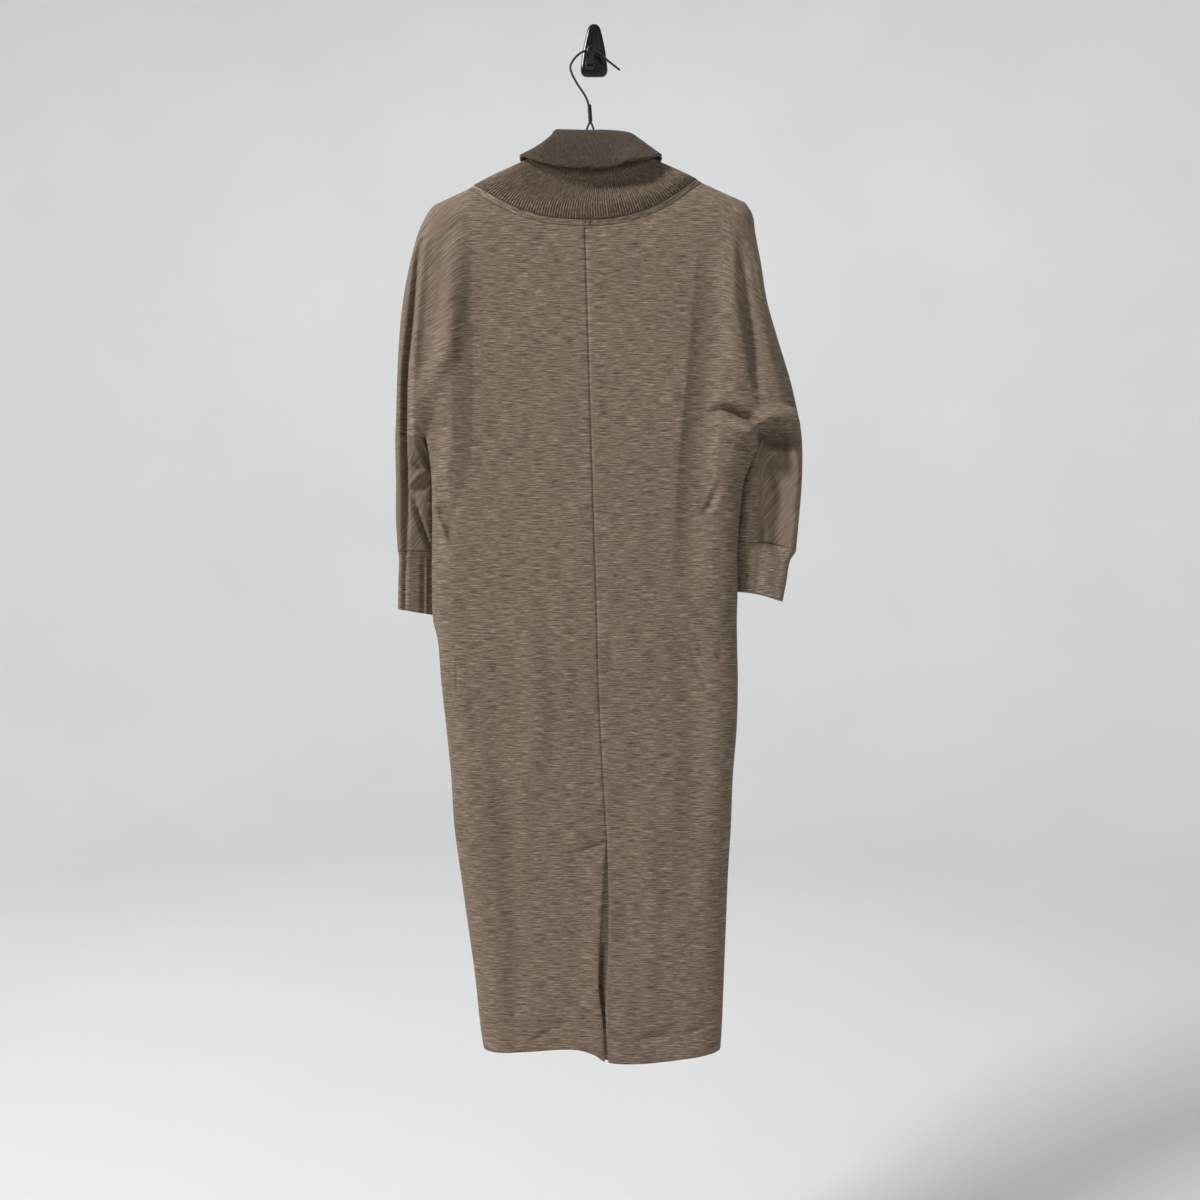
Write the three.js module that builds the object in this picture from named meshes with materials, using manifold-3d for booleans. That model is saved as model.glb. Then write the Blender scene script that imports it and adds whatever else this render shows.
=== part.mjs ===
// A long-sleeved rib-collar sweater dress hanging, back to the viewer, on a thin wire hanger
// and a small hook stuck to a wall. Millimetres, +Z up. The wall is the plane Y = 0 and the
// dress hangs on its -Y side. The origin is the middle of the wall hook's flat back face.
import * as THREE from "three";
import { mergeVertices } from "three/addons/utils/BufferGeometryUtils.js";
import Module from "manifold-3d";

const wasm = await Module();
wasm.setup();

// Cloth
const WALL = 2.0;
const WALL_IN_TURNS = 1.0;
const TURN_REACH = 16;
const TURN_CORE = 0.3;
const SEAM_GAP = 0.3;
const NECK_EASE = 0.1;
const RIB_RISE = 0.6;
const RING_CELLS = 64;
const RIB_COLUMNS = 256;
const RING_HALF_LENGTH = 150;
const RING_HALF_DEPTH = 22;

// Hanger wire
const WIRE_RADIUS = 1.2;
const WIRE_Y = -15.2;
const SHOULDER_Y = -14;
const ARM_LIFT = 5;

// Levels down the dress
const UNDERARM_Z = -509;
const VENT_TOP_Z = -1014;
const EDGE_ROUNDING = { back: 36, front: 20 };
const LOWEST = { sleeve: -760, body: -1320 };
const OUTLINE_STEP = { over: 8, side: 12 };
const SLEEVE_BLEND = { inside: 12, width: 30, drop: 80 };
const FRONT_EASE = { beyondSeam: 2.5, straightenOver: 300 };
const FRONT_Y = -4.5;

// The two halves as seen from behind: where the arm of the hanger starts and ends, the neck
// side, the shoulder end and the underarm.
const SIDES = {
  left: { sign: -1, armX: -14, endX: -194, endZ: -204.8, neckX: -162, shoulderX: -205, armpitX: -216 },
  right: { sign: 1, armX: 2, endX: 183, endZ: -201.5, neckX: 140, shoulderX: 195, armpitX: 214 },
};
const ARM_TOP_Z = -118;

// Silhouette of shoulder and sleeve from the shoulder end to the cuff.
const OVERARM = [
  { z: -205, left: -205, right: 195 },
  { z: -214, left: -213, right: 199.5 },
  { z: -238, left: -225, right: 205 },
  { z: -279, left: -235.5, right: 214 },
  { z: -330, left: -244.5, right: 221.5 },
  { z: -381, left: -249.5, right: 235.5 },
  { z: -432, left: -252, right: 251 },
  { z: -483, left: -253.5, right: 262.5 },
  { z: -509, left: -254.5, right: 266.3 },
  { z: -560, left: -253.5, right: 266.3 },
  { z: -611, left: -253.5, right: 262.4 },
  { z: -652, left: -251, right: 258.5 },
];

// Side of the body from the underarm to the hem.
const BODY_SIDE = [
  { z: -509, left: -216, right: 214 },
  { z: -522, left: -212.5, right: 209 },
  { z: -540, left: -209.5, right: 200.5 },
  { z: -560, left: -208, right: 192.5 },
  { z: -600, left: -207.5, right: 187.5 },
  { z: -645, left: -207.5, right: 184 },
  { z: -700, left: -207.5, right: 184 },
  { z: -740, left: -206, right: 183 },
  { z: -765, left: -200, right: 183.3 },
  { z: -816, left: -195.8, right: 184.3 },
  { z: -874, left: -189.4, right: 183 },
  { z: -938, left: -183, right: 178 },
  { z: -1002, left: -179, right: 175.4 },
  { z: -1066, left: -170.2, right: 171.5 },
  { z: -1130, left: -161.3, right: 169 },
  { z: -1194, left: -152.3, right: 166.4 },
  { z: -1258, left: -145.5, right: 163.8 },
  { z: -1300, left: -139, right: 161 },
];

// Inner seam of the sleeve, a few millimetres clear of the body's side.
const UNDERARM = [
  { z: -509, left: -216, right: 214 },
  { z: -522, left: -215.6, right: 214.5 },
  { z: -540, left: -213.8, right: 210 },
  { z: -560, left: -212.8, right: 203 },
  { z: -600, left: -212.3, right: 194.5 },
  { z: -652, left: -212, right: 189.5 },
];

// Centre back seam down to the vent, and below the vent's top the free edge of each half.
const CENTRE_BACK = [
  { z: -200, x: -11 },
  { z: -241, x: -11 },
  { z: -348, x: -8 },
  { z: -563, x: -1.6 },
  { z: -714, x: 3.3 },
  { z: -835, x: 6.4 },
  { z: -1014, x: 16 },
];
const VENT_EDGES = [
  { z: -1014, left: 16, right: 16 },
  { z: -1082, left: 11, right: 18.3 },
  { z: -1159, left: 6.8, right: 17.5 },
  { z: -1206, left: 6.3, right: 15 },
  { z: -1238, left: 10.5, right: 14.5 },
  { z: -1298, left: 14, right: 18 },
];

// Lower edge of the back, slightly uneven, and of the front.
const HEM = [
  { x: -142, back: -1286, front: -1286 },
  { x: -73, back: -1283.5, front: -1288 },
  { x: -24, back: -1281.5, front: -1290 },
  { x: 0, back: -1288, front: -1290 },
  { x: 14, back: -1297, front: -1290 },
  { x: 56, back: -1299.5, front: -1290 },
  { x: 96, back: -1295.5, front: -1289 },
  { x: 133, back: -1290.5, front: -1288 },
  { x: 164, back: -1287, front: -1287 },
];

// Depth: the plane of the side seams, and how far the back stands out from it.
const DEPTH = [
  { z: -185, seam: -14, back: 18 },
  { z: -241, seam: -16, back: 29 },
  { z: -330, seam: -24, back: 25 },
  { z: -509, seam: -25, back: 24 },
  { z: -800, seam: -25, back: 24 },
  { z: -1300, seam: -25, back: 25 },
];
const SLEEVE_DEPTH = 16;

// Largest folds. A ridge has a positive rise towards the viewer, a trough a negative one, and a
// lap stands out on the left of its path, looking along it, and falls away on the right.
const BACK_FOLDS = [
  { kind: "soft", path: [[-218, -256], [-234, -370], [-240, -510], [-237, -590]], width: 9, rise: -9 },
  { kind: "soft", path: [[-214, -262], [-223, -370], [-231, -500]], width: 11, rise: 4 },
  { kind: "soft", path: [[-164, -260], [-164, -461], [-169, -644], [-184, -714]], width: 24, rise: -5 },
  { kind: "soft", path: [[-196, -272], [-198, -400], [-196, -512]], width: 20, rise: 4 },
  { kind: "soft", path: [[159, -290], [178, -373], [186, -452]], width: 22, rise: 6 },
  { kind: "soft", path: [[187, -262], [197, -348], [213, -460]], width: 13, rise: -6 },
  { kind: "soft", path: [[129, -330], [127, -450], [131, -570]], width: 32, rise: -4 },
  { kind: "lap", path: [[153, -474], [190, -483], [213, -487], [254, -485], [268, -493]], width: 26, rise: 9 },
  { kind: "soft", path: [[188, -492], [206, -506]], width: 14, rise: 6 },
  { kind: "lap", path: [[250, -592], [241, -561], [233, -512]], width: 13, rise: 4 },
  { kind: "soft", path: [[219, -590], [219, -652]], width: 9, rise: -3 },
  { kind: "soft", path: [[-90, -740], [-70, -835], [-82, -960]], width: 26, rise: 2.5 },
  { kind: "soft", path: [[110, -760], [128, -900], [118, -1080]], width: 28, rise: -2.5 },
  { kind: "soft", path: [[-120, -900], [-104, -1060], [-92, -1230]], width: 24, rise: -3 },
];
const FRONT_FOLDS = [
  { kind: "soft", path: [[-224, -262], [-238, -390], [-242, -560]], width: 10, rise: -5 },
  { kind: "soft", path: [[-150, -300], [-168, -420], [-190, -500]], width: 22, rise: -4 },
  { kind: "soft", path: [[150, -290], [172, -400], [196, -496]], width: 22, rise: -4 },
  { kind: "soft", path: [[214, -300], [238, -420], [246, -580]], width: 12, rise: -5 },
  { kind: "soft", path: [[-60, -420], [-48, -640], [-70, -860]], width: 30, rise: -3 },
  { kind: "soft", path: [[70, -520], [84, -760], [66, -1000]], width: 30, rise: -3 },
  { kind: "soft", path: [[-104, -900], [-90, -1080], [-96, -1240]], width: 24, rise: -3 },
];
const FLAP_FOLD = { kind: "soft", path: [[14, -1050], [7, -1159], [8, -1215], [13, -1270]], width: 26, rise: 4 };

// Neckline of the back and the front between the two neck sides.
const NECK_LOW = { back: -241, front: -285 };
const NECK_POWER = 2.4;
const CHORD_EASE = { back: 0.15, front: 0.4 };
const NECK_MIDDLE_X = (SIDES.left.neckX + SIDES.right.neckX) / 2;

// Rings of the collar from the band to the free edge of the turned-over flap. Each has its ends
// over the hanger's arms and its middle at the back and at the front.
const COLLAR_COLUMNS = ["name", "left", "leftZ", "right", "rightZ", "backZ", "backY", "frontZ", "frontY"];
const COLLAR_RINGS = [
  ["bulge", -138, -172.6, 118, -166.3, -214, -54, -255, -4],
  ["crease", -92, -150.4, 84, -150.6, -187.5, -44.5, -215, -7],
  ["roll", -84, -146.4, 78, -147.8, -179, -52, -203, -7.5],
  ["under", -66, -137.8, 67, -142.7, -150, -43, -165, -8],
  ["fold_in", -51, -130, 57, -136, -125, -37, -134, -8],
  ["fold_top", -52.5, -127.6, 60, -133, -121, -40.5, -130, -6],
  ["flap_up", -58, -130, 66, -136, -124.5, -45, -134, -4.4],
  ["flap_mid", -76, -139, 75, -141.6, -149, -55.5, -160, -4.2],
  ["flap_edge", -94, -148, 86, -147, -175, -63.5, -190, -4],
].map((row) => Object.fromEntries(row.map((value, i) => [COLLAR_COLUMNS[i], value])));
// Ring shape: how quickly the height drops from the ends, and how the depth grows there.
const RING_DROP = 1.6;
const RING_SWELL = { power: 0.9, share: 0.75, roundedWithin: 0.4 };
const RIBBED_OUTSIDE = ["base", "bulge", "crease", "roll"];
const RIBBED_FLAP = ["flap_up", "flap_mid", "flap_edge"];
const BAND_HEIGHT = 8.5;

// Cuffs: rows from the seam to the open end, with the two edges, their heights and the depth.
const CUFFS = {
  left: [
    { inner: -212, outer: -251, innerZ: -651, outerZ: -651, half: 15 },
    { inner: -212, outer: -249.5, innerZ: -662, outerZ: -660, half: 12 },
    { inner: -211.5, outer: -250.5, innerZ: -695, outerZ: -692, half: 11.5 },
    { inner: -211, outer: -251, innerZ: -731, outerZ: -725.5, half: 12 },
  ],
  right: [
    { inner: 189.5, outer: 258.5, innerZ: -645, outerZ: -652, half: 15 },
    { inner: 188.5, outer: 251, innerZ: -656, outerZ: -664, half: 11 },
    { inner: 188, outer: 246.5, innerZ: -680, outerZ: -690, half: 10.5 },
    { inner: 187.5, outer: 241.5, innerZ: -703, outerZ: -716, half: 11 },
  ],
};
const CUFF_SEAM_DIP = { left: 0, right: 9 };
const CUFF_GROOVES = {
  left: [{ at: 0.35, width: 0.16, depth: 4 }, { at: 0.72, width: 0.16, depth: 5 }],
  right: [{ at: 0.45, width: 0.14, depth: 3 }],
};

// Columns and rows of the panels, as shares of the stretch that they divide.
const NECK_STOPS = [0, 2, 4, 6, 8, 10, 12, 13, 14, 15, 16];
const BODY_COLUMNS = [0, 0.12, 0.24, 0.36, 0.48, 0.6, 0.71, 0.81, 0.89, 0.95, 1];
const SLEEVE_COLUMNS = [0, 0.14, 0.36, 0.62, 0.86, 1];
const YOKE_ROWS = [
  0, 0.014, 0.035, 0.07, 0.12, 0.19, 0.27, 0.36, 0.45, 0.54, 0.63, 0.71, 0.78, 0.84, 0.88, 0.92, 0.96, 1,
];
const SKIRT_ROWS = [
  0, 0.017, 0.04, 0.066, 0.104, 0.15, 0.2, 0.252, 0.31, 0.374, 0.438, 0.51, 0.58, 0.649, 0.715, 0.785,
  0.856, 0.927, 0.972, 1,
];
const SLEEVE_ROWS = [0, 0.09, 0.2, 0.34, 0.5, 0.66, 0.83, 1];

// Vent underlap: a strip behind both halves below the vent's top.
const UNDERLAP = { leftX: -24, rightX: 36, topZ: -1006, bottomZ: -1287, setBack: 2.6, columns: 5, rows: 8 };

const CLOTH = { color: 0x85715f, roughness: 0.95, metalness: 0 };
const RIB = { color: 0x7d6a5a, roughness: 0.95, metalness: 0 };
const WIRE = { color: 0x16161a, roughness: 0.45, metalness: 0.4 };
const PLASTIC = { color: 0x0c0c0e, roughness: 0.15, metalness: 0 };

// Smooth interpolation through the rows of a table.
function along(table, key, value, column) {
  const rising = table[table.length - 1][key] > table[0][key];
  const at = (i) => table[Math.max(0, Math.min(table.length - 1, i))];
  let i = 0;
  while (i < table.length - 2 && (rising ? value > at(i + 1)[key] : value < at(i + 1)[key])) i++;
  const span = at(i + 1)[key] - at(i)[key];
  const t = Math.max(0, Math.min(1, (value - at(i)[key]) / span));
  const slope = (k) => {
    const width = at(k + 1)[key] - at(k - 1)[key];
    return width === 0 ? 0 : ((at(k + 1)[column] - at(k - 1)[column]) / width) * span;
  };
  const t2 = t * t;
  const t3 = t2 * t;
  return (
    at(i)[column] * (2 * t3 - 3 * t2 + 1) +
    slope(i) * (t3 - 2 * t2 + t) +
    at(i + 1)[column] * (3 * t2 - 2 * t3) +
    slope(i + 1) * (t3 - t2)
  );
}

const lerp = (a, b, t) => a + (b - a) * t;

function smooth(t) {
  const c = Math.max(0, Math.min(1, t));
  return c * c * (3 - 2 * c);
}

// Top line of the cloth where it lies over an arm of the hanger.
function armLine(side, x) {
  const s = SIDES[side];
  return ARM_TOP_Z + ((s.endZ - ARM_TOP_Z) * (x - s.armX)) / (s.endX - s.armX) + ARM_LIFT;
}

// The seam outline of one half as short stretches in the XZ plane.
function outline(side) {
  const s = SIDES[side];
  const over = [[s.armX, armLine(side, s.armX)]];
  over.push([s.shoulderX, armLine(side, s.shoulderX)]);
  for (let z = OVERARM[0].z - 4; z > LOWEST.sleeve; z -= OUTLINE_STEP.over)
    over.push([along(OVERARM, "z", z, side), z]);
  const body = [];
  const sleeve = [];
  const step = OUTLINE_STEP.side;
  for (let z = UNDERARM_Z; z > LOWEST.body; z -= step) body.push([along(BODY_SIDE, "z", z, side), z]);
  for (let z = UNDERARM_Z; z > LOWEST.sleeve; z -= step) sleeve.push([along(UNDERARM, "z", z, side), z]);
  return [over, body, sleeve];
}
const OUTLINES = { left: outline("left"), right: outline("right") };

function distanceToStretch(px, pz, a, b) {
  const dx = b[0] - a[0];
  const dz = b[1] - a[1];
  const t = Math.max(0, Math.min(1, ((px - a[0]) * dx + (pz - a[1]) * dz) / (dx * dx + dz * dz)));
  const d = Math.hypot(px - a[0] - t * dx, pz - a[1] - t * dz);
  return { d, t, turn: dx * (pz - a[1]) - dz * (px - a[0]) };
}

function distanceToOutline(side, x, z) {
  let best = Infinity;
  for (const line of OUTLINES[side])
    for (let i = 0; i < line.length - 1; i++)
      best = Math.min(best, distanceToStretch(x, z, line[i], line[i + 1]).d);
  return best;
}

// Rise of one fold at a point of the panel.
function foldRise(fold, x, z) {
  let best = { d: Infinity };
  let reach = 0;
  const lengths = fold.path.slice(1).map((p, i) => Math.hypot(p[0] - fold.path[i][0], p[1] - fold.path[i][1]));
  const whole = lengths.reduce((a, b) => a + b, 0);
  lengths.forEach((length, i) => {
    const hit = distanceToStretch(x, z, fold.path[i], fold.path[i + 1]);
    if (hit.d < best.d) best = { ...hit, share: (reach + hit.t * length) / whole };
    reach += length;
  });
  const taper = Math.sin(Math.PI * Math.min(1, Math.max(0, 0.12 + best.share * 0.76)));
  const t = best.d / fold.width;
  if (fold.kind === "soft") return t >= 1 ? 0 : fold.rise * taper * (0.5 + 0.5 * Math.cos(Math.PI * t));
  if (t >= 1.6) return 0;
  if (best.turn > 0) return t >= 1 ? 0 : fold.rise * taper * (1 - smooth(t));
  return -0.7 * fold.rise * taper * Math.sin(Math.PI * Math.min(1, t / 1.6));
}

// Rounding from a seam edge to the flat of the panel.
const rounding = (share) => (share >= 1 ? 1 : Math.sqrt(1 - (1 - share) ** 2));

function sleeveShare(side, x, z) {
  const s = SIDES[side];
  const across = (s.sign * (x - s.armpitX) + SLEEVE_BLEND.inside) / SLEEVE_BLEND.width;
  return smooth(across) * smooth((UNDERARM_Z + SLEEVE_BLEND.drop - z) / SLEEVE_BLEND.drop);
}

// Depth of the outer face of the back or the front at a point.
function surfaceY(face, side, x, z) {
  const seam = along(DEPTH, "z", z, "seam");
  const depth = face === "back" ? along(DEPTH, "z", z, "back") : FRONT_Y - seam;
  const sleeve = sleeveShare(side, x, z);
  const out = lerp(depth, Math.min(depth, SLEEVE_DEPTH), sleeve);
  const share = distanceToOutline(side, x, z) / EDGE_ROUNDING[face];
  const folds = face === "back" ? BACK_FOLDS : FRONT_FOLDS;
  let rise = folds.reduce((sum, fold) => sum + foldRise(fold, x, z), 0) * smooth(share * 3);
  if (face === "back" && side === "left") rise += foldRise(FLAP_FOLD, x, z);
  const reach = out * rounding(share);
  return face === "back" ? seam - reach - rise : Math.min(seam + reach + rise, FRONT_Y + FRONT_EASE.beyondSeam);
}

// Neckline height between the neck sides.
function neckZ(face, x) {
  const half = (SIDES.right.neckX - SIDES.left.neckX) / 2;
  const u = Math.min(1, Math.abs(x - NECK_MIDDLE_X) / half);
  const end = x < NECK_MIDDLE_X ? armLine("left", SIDES.left.neckX) : armLine("right", SIDES.right.neckX);
  return lerp(end, NECK_LOW[face], 1 - u ** NECK_POWER);
}

// Ring stations evenly spaced round a flat ellipse: cosine and sine of each.
function ringStations(count) {
  const fine = 7200;
  const arc = [0];
  const at = (i) => [
    RING_HALF_LENGTH * Math.cos((2 * Math.PI * i) / fine),
    RING_HALF_DEPTH * Math.sin((2 * Math.PI * i) / fine),
  ];
  for (let i = 1; i <= fine; i++) {
    const [a, b] = [at(i - 1), at(i)];
    arc.push(arc[i - 1] + Math.hypot(b[0] - a[0], b[1] - a[1]));
  }
  const stations = [];
  let i = 0;
  for (let k = 0; k < count; k++) {
    const wanted = (arc[fine] * k) / count;
    while (arc[i + 1] < wanted) i++;
    const angle = (2 * Math.PI * (i + (wanted - arc[i]) / (arc[i + 1] - arc[i]))) / fine;
    stations.push({ u: Math.cos(angle), w: Math.sin(angle) });
  }
  return stations;
}
const FINE_STATIONS = ringStations(RIB_COLUMNS);
const FINE_PER_CELL = RIB_COLUMNS / RING_CELLS;

// A point of the neck seam, on the dress, at a ring station.
function neckPoint(station) {
  const face = station.w >= 0 ? "back" : "front";
  const x = lerp(SIDES.left.neckX, SIDES.right.neckX, (station.u + 1) / 2);
  const side = x < NECK_MIDDLE_X ? "left" : "right";
  const z = neckZ(face, x);
  return new THREE.Vector3(x, surfaceY(face, side, x, z), z);
}

// A point of a collar ring at a ring station.
function collarPoint(ring, station) {
  const x = lerp(ring.left, ring.right, (station.u + 1) / 2);
  const endZ = lerp(ring.leftZ, ring.rightZ, (station.u + 1) / 2);
  const w = Math.abs(station.w);
  const back = station.w >= 0;
  const z = lerp(endZ, back ? ring.backZ : ring.frontZ, w ** RING_DROP);
  const rounded = rounding(w / RING_SWELL.roundedWithin);
  const share = back ? lerp(rounded, w ** RING_SWELL.power, RING_SWELL.share) : rounded;
  const y = lerp(SHOULDER_Y, back ? ring.backY : ring.frontY, share);
  return new THREE.Vector3(x, y, z);
}

// The neck seam's own frame: the direction up into the collar and the direction out of the cloth.
function neckFrames() {
  const points = FINE_STATIONS.map(neckPoint);
  return points.map((p, i) => {
    const next = points[(i + 1) % points.length];
    const last = points[(i + points.length - 1) % points.length];
    const tangent = next.clone().sub(last).normalize();
    const rise = collarPoint(COLLAR_RINGS[0], FINE_STATIONS[i]).sub(p);
    const out = tangent.clone().cross(rise).normalize();
    if (out.x * FINE_STATIONS[i].u * 0.2 - out.y * FINE_STATIONS[i].w < 0) out.negate();
    if (Math.abs(FINE_STATIONS[i].w) < 1e-6) out.setY(0).normalize();
    const up = out.clone().cross(tangent).normalize();
    if (up.z < 0) up.negate();
    return { p, out, up };
  });
}
const NECK_FRAMES = neckFrames();

// Wall thickness at a point: thinner in the tight turns at the underarms and the shoulder ends.
function wallAt(p) {
  const share = Math.min(
    ...Object.values(SIDES).flatMap((s) => [
      Math.hypot(p.x - s.armpitX, p.z - UNDERARM_Z) / TURN_REACH,
      Math.hypot(p.x - s.shoulderX, p.z - OVERARM[0].z) / TURN_REACH,
    ]),
  );
  return lerp(WALL_IN_TURNS, WALL, smooth(share - TURN_CORE));
}

// A closed wall from a sheet of outer points: the inner points lie one wall thickness behind,
// and every open edge gets a rim.
class Sheet {
  constructor() {
    this.points = [];
    this.faces = [];
    this.normals = new Map();
  }

  add(point, normal) {
    this.points.push(point);
    if (normal) this.normals.set(this.points.length - 1, normal.clone().normalize());
    return this.points.length - 1;
  }

  // Triangles of a grid. The last cell of the first row is cut the other way, because its outer
  // corner lies on a seam with both its neighbours.
  quads(rows, flip) {
    for (let r = 0; r < rows.length - 1; r++)
      for (let c = 0; c < rows[r].length - 1; c++) {
        const [a, b, d, e] = [rows[r][c], rows[r][c + 1], rows[r + 1][c + 1], rows[r + 1][c]];
        const corner = r === 0 && c === rows[r].length - 2;
        const cut = corner ? [[a, b, e], [b, d, e]] : [[a, b, d], [a, d, e]];
        for (const [i, j, k] of cut) this.faces.push(flip ? [i, j, k] : [i, k, j]);
      }
  }

  vertexNormals() {
    const sums = this.points.map(() => new THREE.Vector3());
    for (const [a, b, c] of this.faces) {
      const ab = this.points[b].clone().sub(this.points[a]);
      const ac = this.points[c].clone().sub(this.points[a]);
      const n = ab.cross(ac);
      for (const i of [a, b, c]) sums[i].add(n);
    }
    return sums.map((n, i) => this.normals.get(i) || n.normalize());
  }

  wall() {
    const normals = this.vertexNormals();
    const count = this.points.length;
    const inner = this.points.map((p, i) => p.clone().addScaledVector(normals[i], -wallAt(p)));
    const index = [];
    const edges = new Set();
    for (const [a, b, c] of this.faces) {
      index.push(a, b, c, c + count, b + count, a + count);
      for (const [p, q] of [[a, b], [b, c], [c, a]]) edges.add(p + "," + q);
    }
    for (const edge of edges) {
      const [a, b] = edge.split(",").map(Number);
      if (edges.has(b + "," + a)) continue;
      index.push(b, a, a + count, b, a + count, b + count);
    }
    return geometryOf([...this.points, ...inner], index);
  }
}

function geometryOf(points, index) {
  const geometry = new THREE.BufferGeometry();
  const positions = points.flatMap((p) => [p.x, p.y, p.z]);
  geometry.setAttribute("position", new THREE.Float32BufferAttribute(positions, 3));
  geometry.setIndex(index);
  return geometry;
}

// Direction out of the cloth along the seam outline, in the seam's plane.
function seamOut(x0, z0, x1, z1, towards) {
  const out = new THREE.Vector3(-(z1 - z0), 0, x1 - x0).normalize();
  return out.x * towards < 0 ? out.negate() : out;
}

function outOfOverarm(side, z) {
  const up = Math.min(z + 2, OVERARM[0].z);
  const down = up - 4;
  return seamOut(along(OVERARM, "z", up, side), up, along(OVERARM, "z", down, side), down, SIDES[side].sign);
}

const coarseIndex = (cells) => (((cells % RING_CELLS) + RING_CELLS) % RING_CELLS) * FINE_PER_CELL;

// Neck seam station of column c of one half: the back middle is a quarter of the way round.
function neckStation(face, side, column) {
  const quarter = RING_CELLS / 4;
  const step = NECK_STOPS[column] * (side === "left" ? 1 : -1);
  return face === "back" ? coarseIndex(quarter + step) : coarseIndex(3 * quarter - step);
}

// Middle edge of one half: the front has no seam and straightens below its neckline.
function centreEdge(face, side, z) {
  if (face === "front") {
    const straight = smooth((NECK_LOW.front - z) / FRONT_EASE.straightenOver);
    return lerp(NECK_MIDDLE_X, 0, straight);
  }
  return z > VENT_TOP_Z ? along(CENTRE_BACK, "z", z, "x") : along(VENT_EDGES, "z", z, side);
}

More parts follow.
